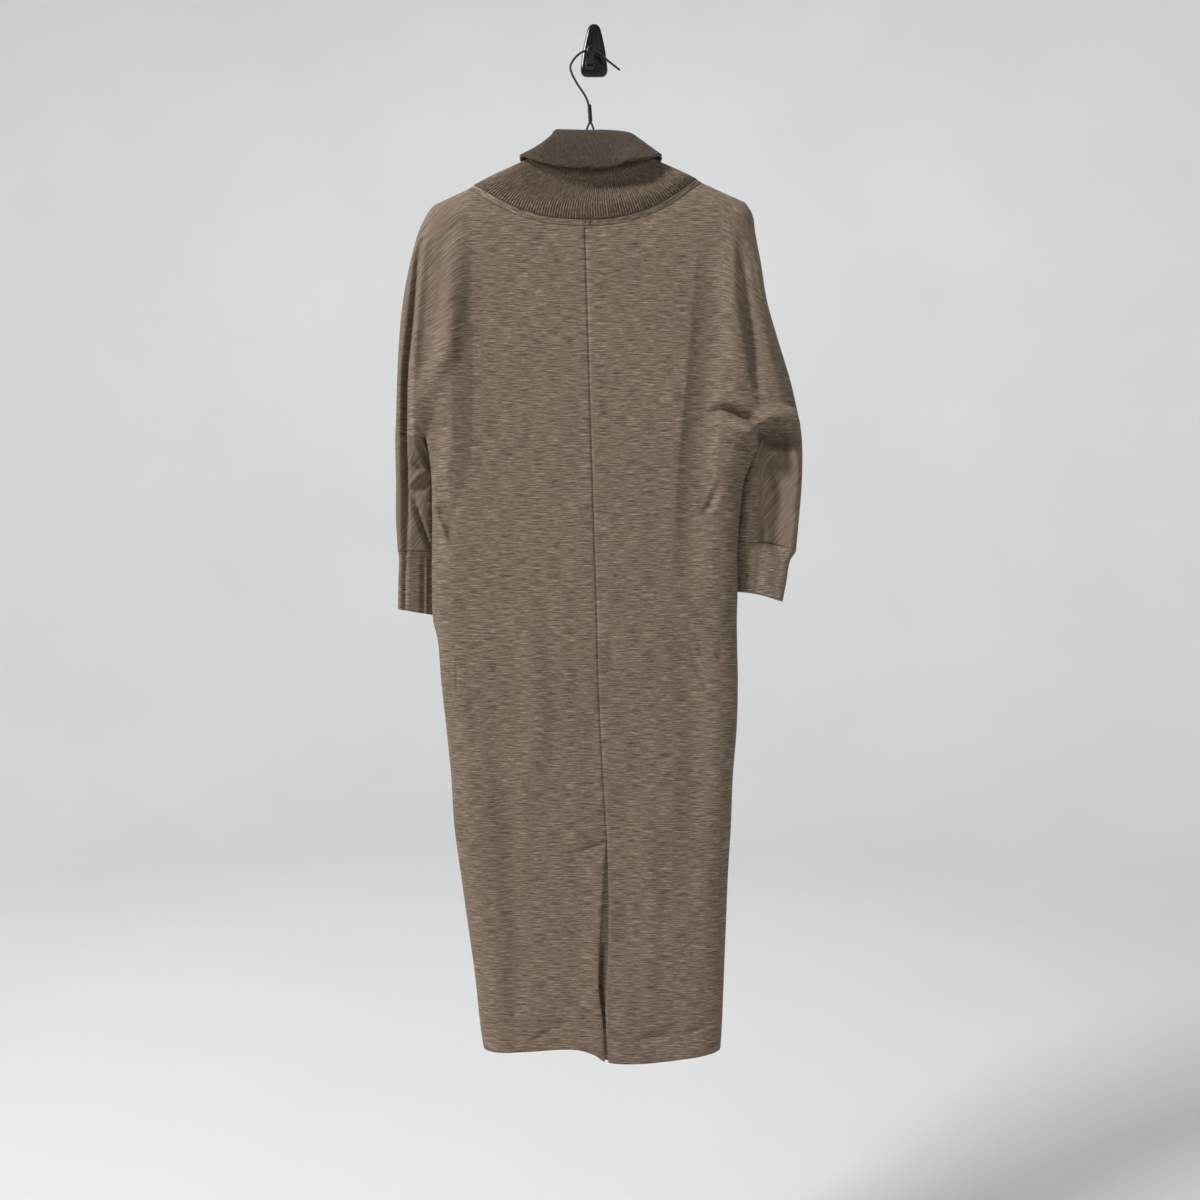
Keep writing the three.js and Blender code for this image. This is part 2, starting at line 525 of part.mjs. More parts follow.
// Adds one half of the back or front to a sheet: the yoke down to the underarm, then the body and
// the sleeve side by side. Returns the column along the middle, so that two halves can share it.
function addHalf(sheet, face, side, middle, skirtRows) {
  const s = SIDES[side];
  const toSeam = face === "back" ? -SEAM_GAP / 2 : SEAM_GAP / 2;
  const lastBody = BODY_COLUMNS.length - 1;
  const columns = lastBody + SLEEVE_COLUMNS.length;
  const centreX = (z) => centreEdge(face, side, z) + (face === "back" ? (s.sign * SEAM_GAP) / 2 : 0);
  const armpit = new THREE.Vector3(s.armpitX, along(DEPTH, "z", UNDERARM_Z, "seam") + toSeam, UNDERARM_Z);
  const centreOut = new THREE.Vector3(0, face === "back" ? -1 : 1, 0);

  const place = (x, z, edge, out) => {
    const seam = along(DEPTH, "z", z, "seam");
    if (edge) return sheet.add(new THREE.Vector3(x, seam + toSeam, z), out);
    return sheet.add(new THREE.Vector3(x, surfaceY(face, side, x, z), z), out);
  };

  const topX = [];
  const topZ = [];
  const endX = [];
  for (let c = 0; c < columns; c++) {
    if (c <= lastBody) {
      const frame = NECK_FRAMES[neckStation(face, side, c)];
      topX.push(frame.p.x);
      topZ.push(frame.p.z);
      endX.push(lerp(centreX(UNDERARM_Z), s.armpitX, BODY_COLUMNS[c]));
    } else {
      const share = SLEEVE_COLUMNS[c - lastBody];
      topX.push(lerp(s.neckX, s.shoulderX, share));
      topZ.push(armLine(side, topX[c]));
      endX.push(lerp(s.armpitX, along(OVERARM, "z", UNDERARM_Z, side), share));
    }
  }

  const yoke = YOKE_ROWS.map((v, r) => {
    const outerZ = lerp(topZ[columns - 1], UNDERARM_Z, v);
    const outerX = along(OVERARM, "z", outerZ, side);
    const plainOuter = lerp(topX[columns - 1], endX[columns - 1], v);
    const plainMiddle = lerp(topX[0], endX[0], v);
    return topX.map((_, c) => {
      if (c === 0 && middle.yoke) return middle.yoke[r];
      const z = lerp(topZ[c], UNDERARM_Z, v);
      const share = (lerp(topX[c], endX[c], v) - plainMiddle) / (plainOuter - plainMiddle);
      const x = lerp(centreX(z), outerX, share);
      const last = c === columns - 1;
      if (r === YOKE_ROWS.length - 1 && c === lastBody) return sheet.add(armpit, new THREE.Vector3(0, 0, -1));
      if (last && r > 0) return place(x, z, true, outOfOverarm(side, z));
      if (r > 0) return place(x, z, false, c === 0 && face === "back" ? centreOut : null);
      if (c > lastBody) {
        const out = seamOut(s.neckX, topZ[lastBody], s.shoulderX, topZ[columns - 1], s.sign);
        return place(topX[c], topZ[c], true, last ? out.add(outOfOverarm(side, z)) : out);
      }
      const frame = NECK_FRAMES[neckStation(face, side, c)];
      const p = frame.p.clone().addScaledVector(frame.up, -SEAM_GAP / 2 - NECK_EASE - CHORD_EASE[face]);
      if (c === 0 && face === "back") p.x += (s.sign * SEAM_GAP) / 2;
      if (c === lastBody) p.y = along(DEPTH, "z", p.z, "seam") + toSeam;
      const out = frame.out.clone();
      if (c === 0) out.setX(0);
      return sheet.add(p, out);
    });
  });

  const belowArm = yoke[yoke.length - 1];
  const hem = (x) => along(HEM, "x", x, face);
  const body = skirtRows.map((v, r) => {
    if (r === 0) return belowArm.slice(0, lastBody + 1);
    return BODY_COLUMNS.map((share, c) => {
      if (c === 0 && middle.body) return middle.body[r];
      const roughZ = lerp(UNDERARM_Z, hem(lerp(centreX(-1280), along(BODY_SIDE, "z", -1280, side), share)), v);
      const edgeX = along(BODY_SIDE, "z", roughZ, side);
      const x = lerp(centreX(roughZ), edgeX, share);
      if (c === lastBody) {
        const [up, down] = [roughZ + 3, roughZ - 3];
        const [xUp, xDown] = [along(BODY_SIDE, "z", up, side), along(BODY_SIDE, "z", down, side)];
        return place(x, roughZ, true, seamOut(xUp, up, xDown, down, s.sign));
      }
      return place(x, roughZ, false, c === 0 && face === "back" ? centreOut : null);
    });
  });

  const cuff = CUFFS[side][0];
  const sleeve = SLEEVE_ROWS.map((v, r) => {
    if (r === 0) return belowArm.slice(lastBody);
    return SLEEVE_COLUMNS.map((share, c) => {
      const dip = CUFF_SEAM_DIP[side] * Math.sin(Math.PI * share);
      const z = lerp(UNDERARM_Z, lerp(cuff.innerZ, cuff.outerZ, share) + dip, v);
      const x = lerp(along(UNDERARM, "z", z, side), along(OVERARM, "z", z, side), share);
      const edge = c === 0 || c === SLEEVE_COLUMNS.length - 1;
      if (r === SLEEVE_ROWS.length - 1) return place(x, z, edge, sleeveEndOut(face, side, share));
      if (c === 0) {
        const [up, down] = [z + 3, z - 3];
        const [xUp, xDown] = [along(UNDERARM, "z", up, side), along(UNDERARM, "z", down, side)];
        return place(x, z, true, seamOut(xUp, up, xDown, down, -s.sign));
      }
      if (c === SLEEVE_COLUMNS.length - 1) return place(x, z, true, outOfOverarm(side, z));
      return place(x, z, false, null);
    });
  });

  const flip = (face === "back") === (side === "left");
  for (const rows of [yoke, body, sleeve]) sheet.quads(rows, flip);
  return { yoke: yoke.map((row) => row[0]), body: body.map((row) => row[0]) };
}

function backPanel(side) {
  const sheet = new Sheet();
  addHalf(sheet, "back", side, {}, SKIRT_ROWS);
  return sheet.wall();
}

function frontPanel() {
  const sheet = new Sheet();
  const rows = SKIRT_ROWS.filter((_, i) => i < 6 || i % 2 === 1);
  const middle = addHalf(sheet, "front", "left", {}, rows);
  addHalf(sheet, "front", "right", middle, rows);
  return sheet.wall();
}

// Joins rings of points into one closed surface. Two neighbouring rings have the same number of
// points, and then each cell is cut along its shorter diagonal, or one has a multiple of the other's.
function ringSurface(rings) {
  const points = [];
  const starts = rings.map((ring) => {
    const start = points.length;
    points.push(...ring);
    return start;
  });
  const index = [];
  rings.forEach((ring, k) => {
    const other = (k + 1) % rings.length;
    const [a, b] = [ring.length, rings[other].length];
    const cells = Math.min(a, b);
    const [perA, perB] = [a / cells, b / cells];
    const pa = (i) => starts[k] + (i % a);
    const pb = (i) => starts[other] + (i % b);
    for (let i = 0; i < cells; i++) {
      if (a === b) {
        const [p, q, s, t] = [pa(i), pa(i + 1), pb(i + 1), pb(i)];
        const alike = points[p].distanceTo(points[s]) < points[q].distanceTo(points[t]);
        if (alike) index.push(p, q, s, p, s, t);
        else index.push(p, q, t, q, s, t);
        continue;
      }
      for (let j = 0; j < perA; j++) {
        const near = perB > 1 ? i * perB + Math.ceil(perB / 2) : i;
        const corner = j < perA / 2 ? pb(near) : pb(i + 1);
        index.push(pa(i * perA + j), pa(i * perA + j + 1), corner);
        if (j === Math.ceil(perA / 2) - 1 && perB === 1)
          index.push(pb(i * perB), pa(i * perA + j + 1), pb((i + 1) * perB));
      }
      if (perB > 1)
        for (let j = 0; j < perB; j++) {
          const corner = j < perB / 2 ? pa(i) : pa(i + 1);
          index.push(corner, pb(i * perB + j + 1), pb(i * perB + j));
        }
    }
  });
  return geometryOf(points, index);
}

// The collar's rings with the direction out of each point.
function collarRings() {
  const first = NECK_FRAMES.map(({ p, up }) => p.clone().addScaledVector(up, BAND_HEIGHT + SEAM_GAP * 1.5));
  const later = COLLAR_RINGS.map((ring) => FINE_STATIONS.map((station) => collarPoint(ring, station)));
  const rings = [first, ...later];
  const names = ["base", ...COLLAR_RINGS.map((ring) => ring.name)];
  return rings.map((ring, k) => {
    const outs = ring.map((_, i) => {
      if (k === 0) return NECK_FRAMES[i].out;
      const round = ring[(i + ring.length - 1) % ring.length].clone().sub(ring[(i + 1) % ring.length]);
      const before = ring[i].clone().sub(rings[k - 1][i]).normalize();
      const after = k + 1 < rings.length ? rings[k + 1][i].clone().sub(ring[i]).normalize() : before;
      return round.cross(before.add(after)).normalize();
    });
    return { name: names[k], points: ring, outs };
  });
}

const everyFourth = (list) => list.filter((_, i) => i % FINE_PER_CELL === 0);

// Rib crown at every second column, groove between.
const ribLift = (i) => (i % 2 === 0 ? 0 : RIB_RISE);

function collar() {
  const rings = collarRings();
  const face = (ring, offset, ribbed) => {
    const direction = offset > 0 ? -1 : 1;
    const moved = ring.points.map((p, i) =>
      p.clone().addScaledVector(ring.outs[i], -offset + (ribbed ? direction * ribLift(i) : 0)),
    );
    return ribbed ? moved : everyFourth(moved);
  };
  const outside = rings.map((ring) => face(ring, 0, RIBBED_OUTSIDE.includes(ring.name)));
  const inside = rings.map((ring) => face(ring, WALL, RIBBED_FLAP.includes(ring.name)));
  return ringSurface([...inside, ...outside.reverse()]);
}

function neckBand() {
  const low = NECK_FRAMES.map(({ p, up }) => p.clone().addScaledVector(up, SEAM_GAP / 2 + NECK_EASE));
  const high = NECK_FRAMES.map(({ p, up }) => p.clone().addScaledVector(up, BAND_HEIGHT));
  const behind = (list) => list.map((p, i) => p.clone().addScaledVector(NECK_FRAMES[i].out, -WALL));
  return ringSurface([behind(low), behind(high), high, low].map(everyFourth));
}

// Direction out of a sleeve at its end, level, so that the sleeve and the cuff meet flush.
function sleeveEndOut(face, side, share) {
  const s = SIDES[side];
  if (share === 0 || share === 1) return new THREE.Vector3(share === 1 ? s.sign : -s.sign, 0, 0);
  const row = CUFFS[side][0];
  const at = (t) => {
    const x = lerp(row.inner, row.outer, t);
    return [x, surfaceY(face, side, x, row.innerZ)];
  };
  const [a, b] = [at(share - 0.03), at(share + 0.03)];
  const out = new THREE.Vector3(-(b[1] - a[1]), b[0] - a[0], 0).normalize();
  return (face === "back") === out.y > 0 ? out.negate() : out;
}

// A cuff: its top ring repeats the sleeve's end, the others come from the table.
function cuff(side) {
  const sheet = new Sheet();
  const stations = [
    ...SLEEVE_COLUMNS.map((share) => ({ share, face: "back" })),
    ...SLEEVE_COLUMNS.slice(1, -1).reverse().map((share) => ({ share, face: "front" })),
  ];
  const rows = CUFFS[side].map((row, r) => {
    const ring = stations.map(({ share, face }) => {
      const dip = CUFF_SEAM_DIP[side] * Math.sin(Math.PI * share) * (r < 2 ? 1 : 0.3);
      const z = lerp(row.innerZ, row.outerZ, share) + dip - (r === 0 ? 2 * SEAM_GAP : 0);
      const x = lerp(row.inner, row.outer, share);
      const seam = along(DEPTH, "z", z, "seam");
      const edge = share === 0 || share === 1;
      if (r === 0) {
        const top = new THREE.Vector3(x, edge ? seam : surfaceY(face, side, x, z), z);
        return sheet.add(top, sleeveEndOut(face, side, share));
      }
      const grooves = CUFF_GROOVES[side].reduce(
        (sum, g) => sum + g.depth * Math.max(0, 1 - Math.abs(share - g.at) / g.width),
        0,
      );
      const reach = row.half * Math.sqrt(Math.max(0, 1 - (2 * share - 1) ** 4)) - grooves;
      return sheet.add(new THREE.Vector3(x, edge ? seam : seam + (face === "back" ? -reach : reach), z));
    });
    return [...ring, ring[0]];
  });
  sheet.quads(rows, side === "left");
  return sheet.wall();
}

function ventUnderlap() {
  const sheet = new Sheet();
  const out = new THREE.Vector3(0, -1, 0);
  const rows = [];
  for (let r = 0; r <= UNDERLAP.rows; r++) {
    const row = [];
    for (let c = 0; c <= UNDERLAP.columns; c++) {
      const x = lerp(UNDERLAP.leftX, UNDERLAP.rightX, c / UNDERLAP.columns);
      const bottom = Math.min(UNDERLAP.bottomZ, along(HEM, "x", x, "back") + 3);
      const z = lerp(UNDERLAP.topZ, Math.max(bottom, along(HEM, "x", x, "back") + 3), r / UNDERLAP.rows);
      const deepest = Math.max(surfaceY("back", "right", x, z), surfaceY("back", "left", x, z));
      row.push(sheet.add(new THREE.Vector3(x, deepest + UNDERLAP.setBack, z), out));
    }
    rows.push(row);
  }
  sheet.quads(rows, false);
  return sheet.wall();
}

// A route whose steps fall on its own points.
class Route extends THREE.Curve {
  constructor(points) {
    super();
    this.points = points;
  }

  getPoint(t, target = new THREE.Vector3()) {
    const place = t * (this.points.length - 1);
    const i = Math.min(this.points.length - 2, Math.floor(place));
    return target.copy(this.points[i]).lerp(this.points[i + 1], place - i);
  }

  getPointAt(u, target) {
    return this.getPoint(u, target);
  }

  getTangentAt(u) {
    const step = 0.5 / (this.points.length - 1);
    const before = this.getPoint(Math.max(0, u - step));
    return this.getPoint(Math.min(1, u + step)).sub(before).normalize();
  }
}

function wireAlong(points, sides) {
  const section = new THREE.Shape();
  for (let i = 0; i < sides; i++) {
    const angle = (2 * Math.PI * i) / sides;
    const [x, y] = [WIRE_RADIUS * Math.cos(angle), WIRE_RADIUS * Math.sin(angle)];
    if (i === 0) section.moveTo(x, y);
    else section.lineTo(x, y);
  }
  section.closePath();
  const route = new Route(points);
  return new THREE.ExtrudeGeometry(section, { steps: points.length - 1, extrudePath: route });
}

function solidOf(geometry) {
  const bare = geometry.index ? geometry.toNonIndexed() : geometry.clone();
  bare.deleteAttribute("normal");
  bare.deleteAttribute("uv");
  const merged = mergeVertices(bare, 1e-3);
  const vertProperties = merged.attributes.position.array;
  return new wasm.Manifold(new wasm.Mesh({ numProp: 3, vertProperties, triVerts: merged.index.array }));
}

function joined(geometries) {
  const solid = geometries.map(solidOf).reduce((a, b) => a.add(b));
  const mesh = solid.getMesh();
  const points = [];
  for (let i = 0; i < mesh.numVert; i++) {
    const at = i * mesh.numProp;
    points.push(new THREE.Vector3(...mesh.vertProperties.slice(at, at + 3)));
  }
  return geometryOf(points, [...mesh.triVerts]);
}

// Hook of the hanger, from its free tip over the wall hook and down to the twist.
const HANGER_HOOK = [
  [33.5, -31], [19, -19.5], [6.5, -9], [-5, -4.6], [-16.5, -8.2], [-26, -17], [-30.5, -28.8],
  [-23.3, -45.6], [-11.6, -63.7], [-6.5, -76], [-4.8, -92], [-4.9, -102.5],
];
const TWIST = { x: -4.9, topZ: -76, bottomZ: -97, radius: 2.1, turns: 4, steps: 10 };
const ARM_START = [[0.4, -98.5], [3, -106]];
const BAR_Z = { left: -220, right: -217 };

function wireHanger() {
  const spline = new THREE.CatmullRomCurve3(HANGER_HOOK.map(([x, z]) => new THREE.Vector3(x, WIRE_Y, z)));
  const hook = wireAlong(spline.getPoints(40), 8);
  const twist = [];
  const total = TWIST.turns * TWIST.steps;
  for (let i = 0; i <= total; i++) {
    const angle = (2 * Math.PI * i) / TWIST.steps;
    const z = lerp(TWIST.topZ, TWIST.bottomZ, i / total);
    const lean = lerp(-1.2, 0.2, i / total);
    twist.push(
      new THREE.Vector3(
        TWIST.x + lean + TWIST.radius * Math.cos(angle),
        WIRE_Y + TWIST.radius * Math.sin(angle),
        z,
      ),
    );
  }
  const arm = (side) => {
    const s = SIDES[side];
    const bend = (BAR_Z[side] - s.endZ) / 2;
    const list = ARM_START.map(([out, z]) => [TWIST.x + s.sign * out, z]);
    list.push([lerp(TWIST.x, s.armX, 0.75), -113]);
    for (let i = 0; i <= 5; i++) list.push([lerp(s.armX, s.endX, i / 5), lerp(ARM_TOP_Z, s.endZ, i / 5)]);
    for (let i = 1; i < 6; i++) {
      const angle = (Math.PI * i) / 6;
      list.push([s.endX - s.sign * bend * Math.sin(angle), s.endZ + bend * (1 - Math.cos(angle))]);
    }
    return list;
  };
  const left = arm("left");
  const right = arm("right").reverse();
  const bar = [[lerp(SIDES.left.endX, 0, 0.05), BAR_Z.left], [lerp(SIDES.right.endX, 0, 0.05), BAR_Z.right]];
  const loop = [...left, ...bar, ...right].map(([x, z]) => new THREE.Vector3(x, WIRE_Y, z));
  return joined([hook, wireAlong(twist, 6), wireAlong(loop, 8)]);
}

// Wall hook: a drop-shaped plate with a short finger that turns up in front of the wire.
const PLATE = { topZ: 26, topRadius: 8, bottomZ: -16.4, bottomRadius: 17.6, thickness: 7, bevel: 2 };
const FINGER = { x: -5, width: 8 };
const FINGER_PROFILE = [
  [-5, -7.5], [-12, -7.6], [-16, -6.7], [-19, -5.6], [-21.5, -2.4], [-24.5, -2.6], [-25.4, -8],
  [-24, -17], [-18, -25.5], [-5, -30],
];

function wallHook() {
  const plate = new THREE.Shape();
  const reach = PLATE.topZ - PLATE.bottomZ;
  const lean = Math.asin((PLATE.bottomRadius - PLATE.topRadius) / reach);
  const inset = PLATE.bevel;
  plate.absarc(0, PLATE.topZ, PLATE.topRadius - inset, lean, Math.PI - lean, false);
  plate.absarc(0, PLATE.bottomZ, PLATE.bottomRadius - inset, Math.PI - lean, 2 * Math.PI + lean, false);
  const plateSolid = new THREE.ExtrudeGeometry(plate, {
    depth: PLATE.thickness - 2 * PLATE.bevel,
    bevelThickness: PLATE.bevel,
    bevelSize: PLATE.bevel,
    bevelSegments: 2,
    curveSegments: 10,
  });
  plateSolid.translate(0, 0, PLATE.bevel);
  plateSolid.rotateX(Math.PI / 2);
  const profile = new THREE.Shape(FINGER_PROFILE.map(([y, z]) => new THREE.Vector2(y, z)));
  const finger = new THREE.ExtrudeGeometry(profile, { depth: FINGER.width, bevelEnabled: false });
  const outline = new THREE.Matrix4().makeBasis(
    new THREE.Vector3(0, 1, 0),
    new THREE.Vector3(0, 0, 1),
    new THREE.Vector3(1, 0, 0),
  );
  finger.applyMatrix4(outline);
  finger.translate(FINGER.x - FINGER.width / 2, 0, 0);
  return joined([plateSolid, finger]);
}

const group = new THREE.Group();

function addPiece(name, geometry, look) {
  const mesh = new THREE.Mesh(geometry, new THREE.MeshStandardMaterial(look));
  mesh.name = name;
  group.add(mesh);
}

addPiece("back_left", backPanel("left"), CLOTH);
addPiece("back_right", backPanel("right"), CLOTH);
addPiece("front", frontPanel(), CLOTH);
addPiece("neck_band", neckBand(), CLOTH);
addPiece("collar", collar(), RIB);
addPiece("cuff_left", cuff("left"), RIB);
addPiece("cuff_right", cuff("right"), RIB);
addPiece("vent_underlap", ventUnderlap(), CLOTH);
addPiece("wire_hanger", wireHanger(), WIRE);
addPiece("wall_hook", wallHook(), PLASTIC);

export default group;
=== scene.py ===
# The looks of a long-sleeved rib-collar sweater dress that hangs, back to the viewer, on a thin
# wire hanger and a small wall hook. Shapes are worked out in millimetres in the shared frame: +Z is
# up, the wall is the plane Y = 0, and the origin is the middle of the wall hook's flat back face.
import math

import bpy
import numpy as np
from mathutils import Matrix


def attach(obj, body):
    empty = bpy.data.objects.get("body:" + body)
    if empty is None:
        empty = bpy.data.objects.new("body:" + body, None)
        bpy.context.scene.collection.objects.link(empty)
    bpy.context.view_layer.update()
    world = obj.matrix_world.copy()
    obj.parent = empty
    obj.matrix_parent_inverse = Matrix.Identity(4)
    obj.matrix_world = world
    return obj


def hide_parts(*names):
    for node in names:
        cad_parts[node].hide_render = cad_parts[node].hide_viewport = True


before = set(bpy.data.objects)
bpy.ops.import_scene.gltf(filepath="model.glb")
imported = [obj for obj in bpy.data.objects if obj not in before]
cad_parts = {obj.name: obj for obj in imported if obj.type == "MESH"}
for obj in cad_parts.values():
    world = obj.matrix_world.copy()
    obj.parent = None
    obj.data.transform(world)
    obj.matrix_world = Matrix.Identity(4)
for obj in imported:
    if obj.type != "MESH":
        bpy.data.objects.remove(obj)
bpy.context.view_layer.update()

MM = 0.001

# Camera, fitted to the hanger, the hem and the wall hook.
CAMERA_PLACE = (7.7, -1566.0, -713.8)
SENSOR = 36.0
LENS = SENSOR * 1203.125 / 1200

# Levels and driving sizes of the dress
UNDERARM_Z = -509.0
VENT_TOP_Z = -1014.0
FRONT_Y = -4.5
BACK_LIMIT_Y = -12.0
SHOULDER_Y = -14.0
ARM_TOP_Z = -118.0
ARM_LIFT = 5.0
SLEEVE_DEPTH = 16.0
EDGE_ROUNDING = {"back": 36.0, "front": 22.0}
SLEEVE_ROUNDING = 26.0
CLOTH_THICKNESS = 1.3
COLLAR_THICKNESS = 1.5
BAND_HEIGHT = 8.5
NECK_LENGTH = 640.0
COLLAR_HEIGHT = 190.0
RIBS = 176
STEPS_PER_RIB = 6
RING_HALF_LENGTH = 150.0
RING_HALF_DEPTH = 22.0
WIRE_RADIUS = 1.4
WIRE_Y = -15.2

SIDES = {
    "left": dict(
        sign=-1, arm_x=-14.0, end_x=-194.0, end_z=-204.8, neck_x=-162.0, shoulder_x=-205.0, armpit_x=-216.0,
    ),
    "right": dict(
        sign=1, arm_x=2.0, end_x=183.0, end_z=-201.5, neck_x=140.0, shoulder_x=195.0, armpit_x=214.0,
    ),
}


def table(names, rows):
    """Rows of numbers as named columns. The first column is the key."""
    return dict(zip(names.split(), np.array(rows, float).T))


OVERARM = table("z left right", [
    (-205, -205, 195), (-209, -209.5, 199.5), (-214, -213, 202.5), (-224, -218.5, 206), (-238, -225, 207),
    (-279, -235.5, 214), (-330, -244.5, 221.5),
    (-381, -249.5, 235.5), (-432, -252, 251), (-483, -253.5, 262.5), (-509, -254.5, 266.3), (-560, -253.5, 266.3),
    (-611, -253.5, 262.4), (-652, -251, 258.5),
])
BODY_SIDE = table("z left right", [
    (-509, -216, 214), (-522, -212.5, 209), (-540, -209.5, 200.5), (-560, -208, 192.5), (-600, -207.5, 187.5),
    (-645, -207.5, 184), (-700, -207.5, 184), (-740, -206, 183), (-765, -200, 183.3), (-816, -195.8, 184.3),
    (-874, -189.4, 183), (-938, -183, 178), (-1002, -179, 175.4), (-1066, -170.2, 171.5), (-1130, -161.3, 169),
    (-1194, -152.3, 166.4), (-1258, -145.5, 163.8), (-1300, -139, 161),
])
CENTRE_BACK = table("z x", [
    (-200, -11), (-241, -11), (-348, -8), (-563, -1.6), (-714, 3.3), (-835, 6.4), (-1014, 16),
])
VENT_EDGES = table("z left right", [
    (-1014, 16, 16), (-1082, 11, 18.3), (-1159, 6.8, 17.5), (-1206, 6.3, 15), (-1238, 10.5, 14.5), (-1298, 14, 18),
])
HEM = table("x back front", [
    (-142, -1286, -1286), (-73, -1283.5, -1288), (-24, -1281.5, -1290), (0, -1288, -1290), (14, -1297, -1290),
    (56, -1299.5, -1290), (96, -1295.5, -1289), (133, -1290.5, -1288), (164, -1287, -1287),
])
DEPTH = table("z seam back", [
    (-185, -14, 18), (-241, -16, 29), (-330, -24, 25), (-509, -25, 24), (-800, -25, 24), (-1300, -25, 25),
])
NECK_LOW = {"back": -241.0, "front": -285.0}
NECK_POWER = 2.4
NECK_MIDDLE_X = (SIDES["left"]["neck_x"] + SIDES["right"]["neck_x"]) / 2

# Rings of the collar: the ends over the hanger's arms, and the middles at the back and the front.
COLLAR_RINGS = table("left left_z right right_z back_z back_y front_z front_y rows", [
    (-138, -172.6, 118, -166.3, -214, -54, -255, -4, 6),
    (-92, -150.4, 84, -150.6, -187.5, -44.5, -215, -7, 6),
    (-84, -146.4, 78, -147.8, -179, -52, -203, -7.5, 5),
    (-62, -134, 63, -138.5, -150, -43, -165, -8, 5),
    (-47, -117, 45, -122.5, -124, -37, -134, -8, 5),
    (-49.5, -112.5, 48, -118.5, -119.5, -40.5, -130, -6, 4),
    (-55.5, -121, 57, -124.5, -123.5, -45, -134, -4.4, 4),
    (-71, -133.5, 71.5, -135, -149, -55.5, -160, -4.2, 5),
    (-95, -146.5, 86.5, -145.8, -175, -63.5, -190, -4, 6),
])
RING_DROP = 1.6
RING_SWELL = dict(power=0.9, share=0.75, rounded_within=0.4)

# Cuffs: edges, heights and half depth of each row from the seam to the open end.
CUFFS = {
    "left": table("row inner outer inner_z outer_z half", [
        (0, -204.5, -251, -651, -651, 15), (0.14, -205.5, -249.5, -662, -660, 12),
        (0.55, -205.5, -250.5, -695, -692, 11.5), (1, -205.5, -251, -733.5, -725.5, 12),
    ]),
    "right": table("row inner outer inner_z outer_z half", [
        (0, 181, 258.5, -645, -652, 15), (0.18, 181, 251, -656, -664, 11),
        (0.6, 181.5, 246.5, -680, -690, 10.5), (1, 182, 241.5, -703, -716, 11),
    ]),
}
CUFF_SEAM_DIP = {"left": 0.0, "right": 9.0}
CUFF_GROOVES = {
    "left": [(0.3, 0.1, 5.0), (0.8, 0.12, 5.0), (0.13, 0.1, 4.0)],
    "right": [(0.45, 0.14, 3.0), (0.8, 0.2, 1.5)],
}

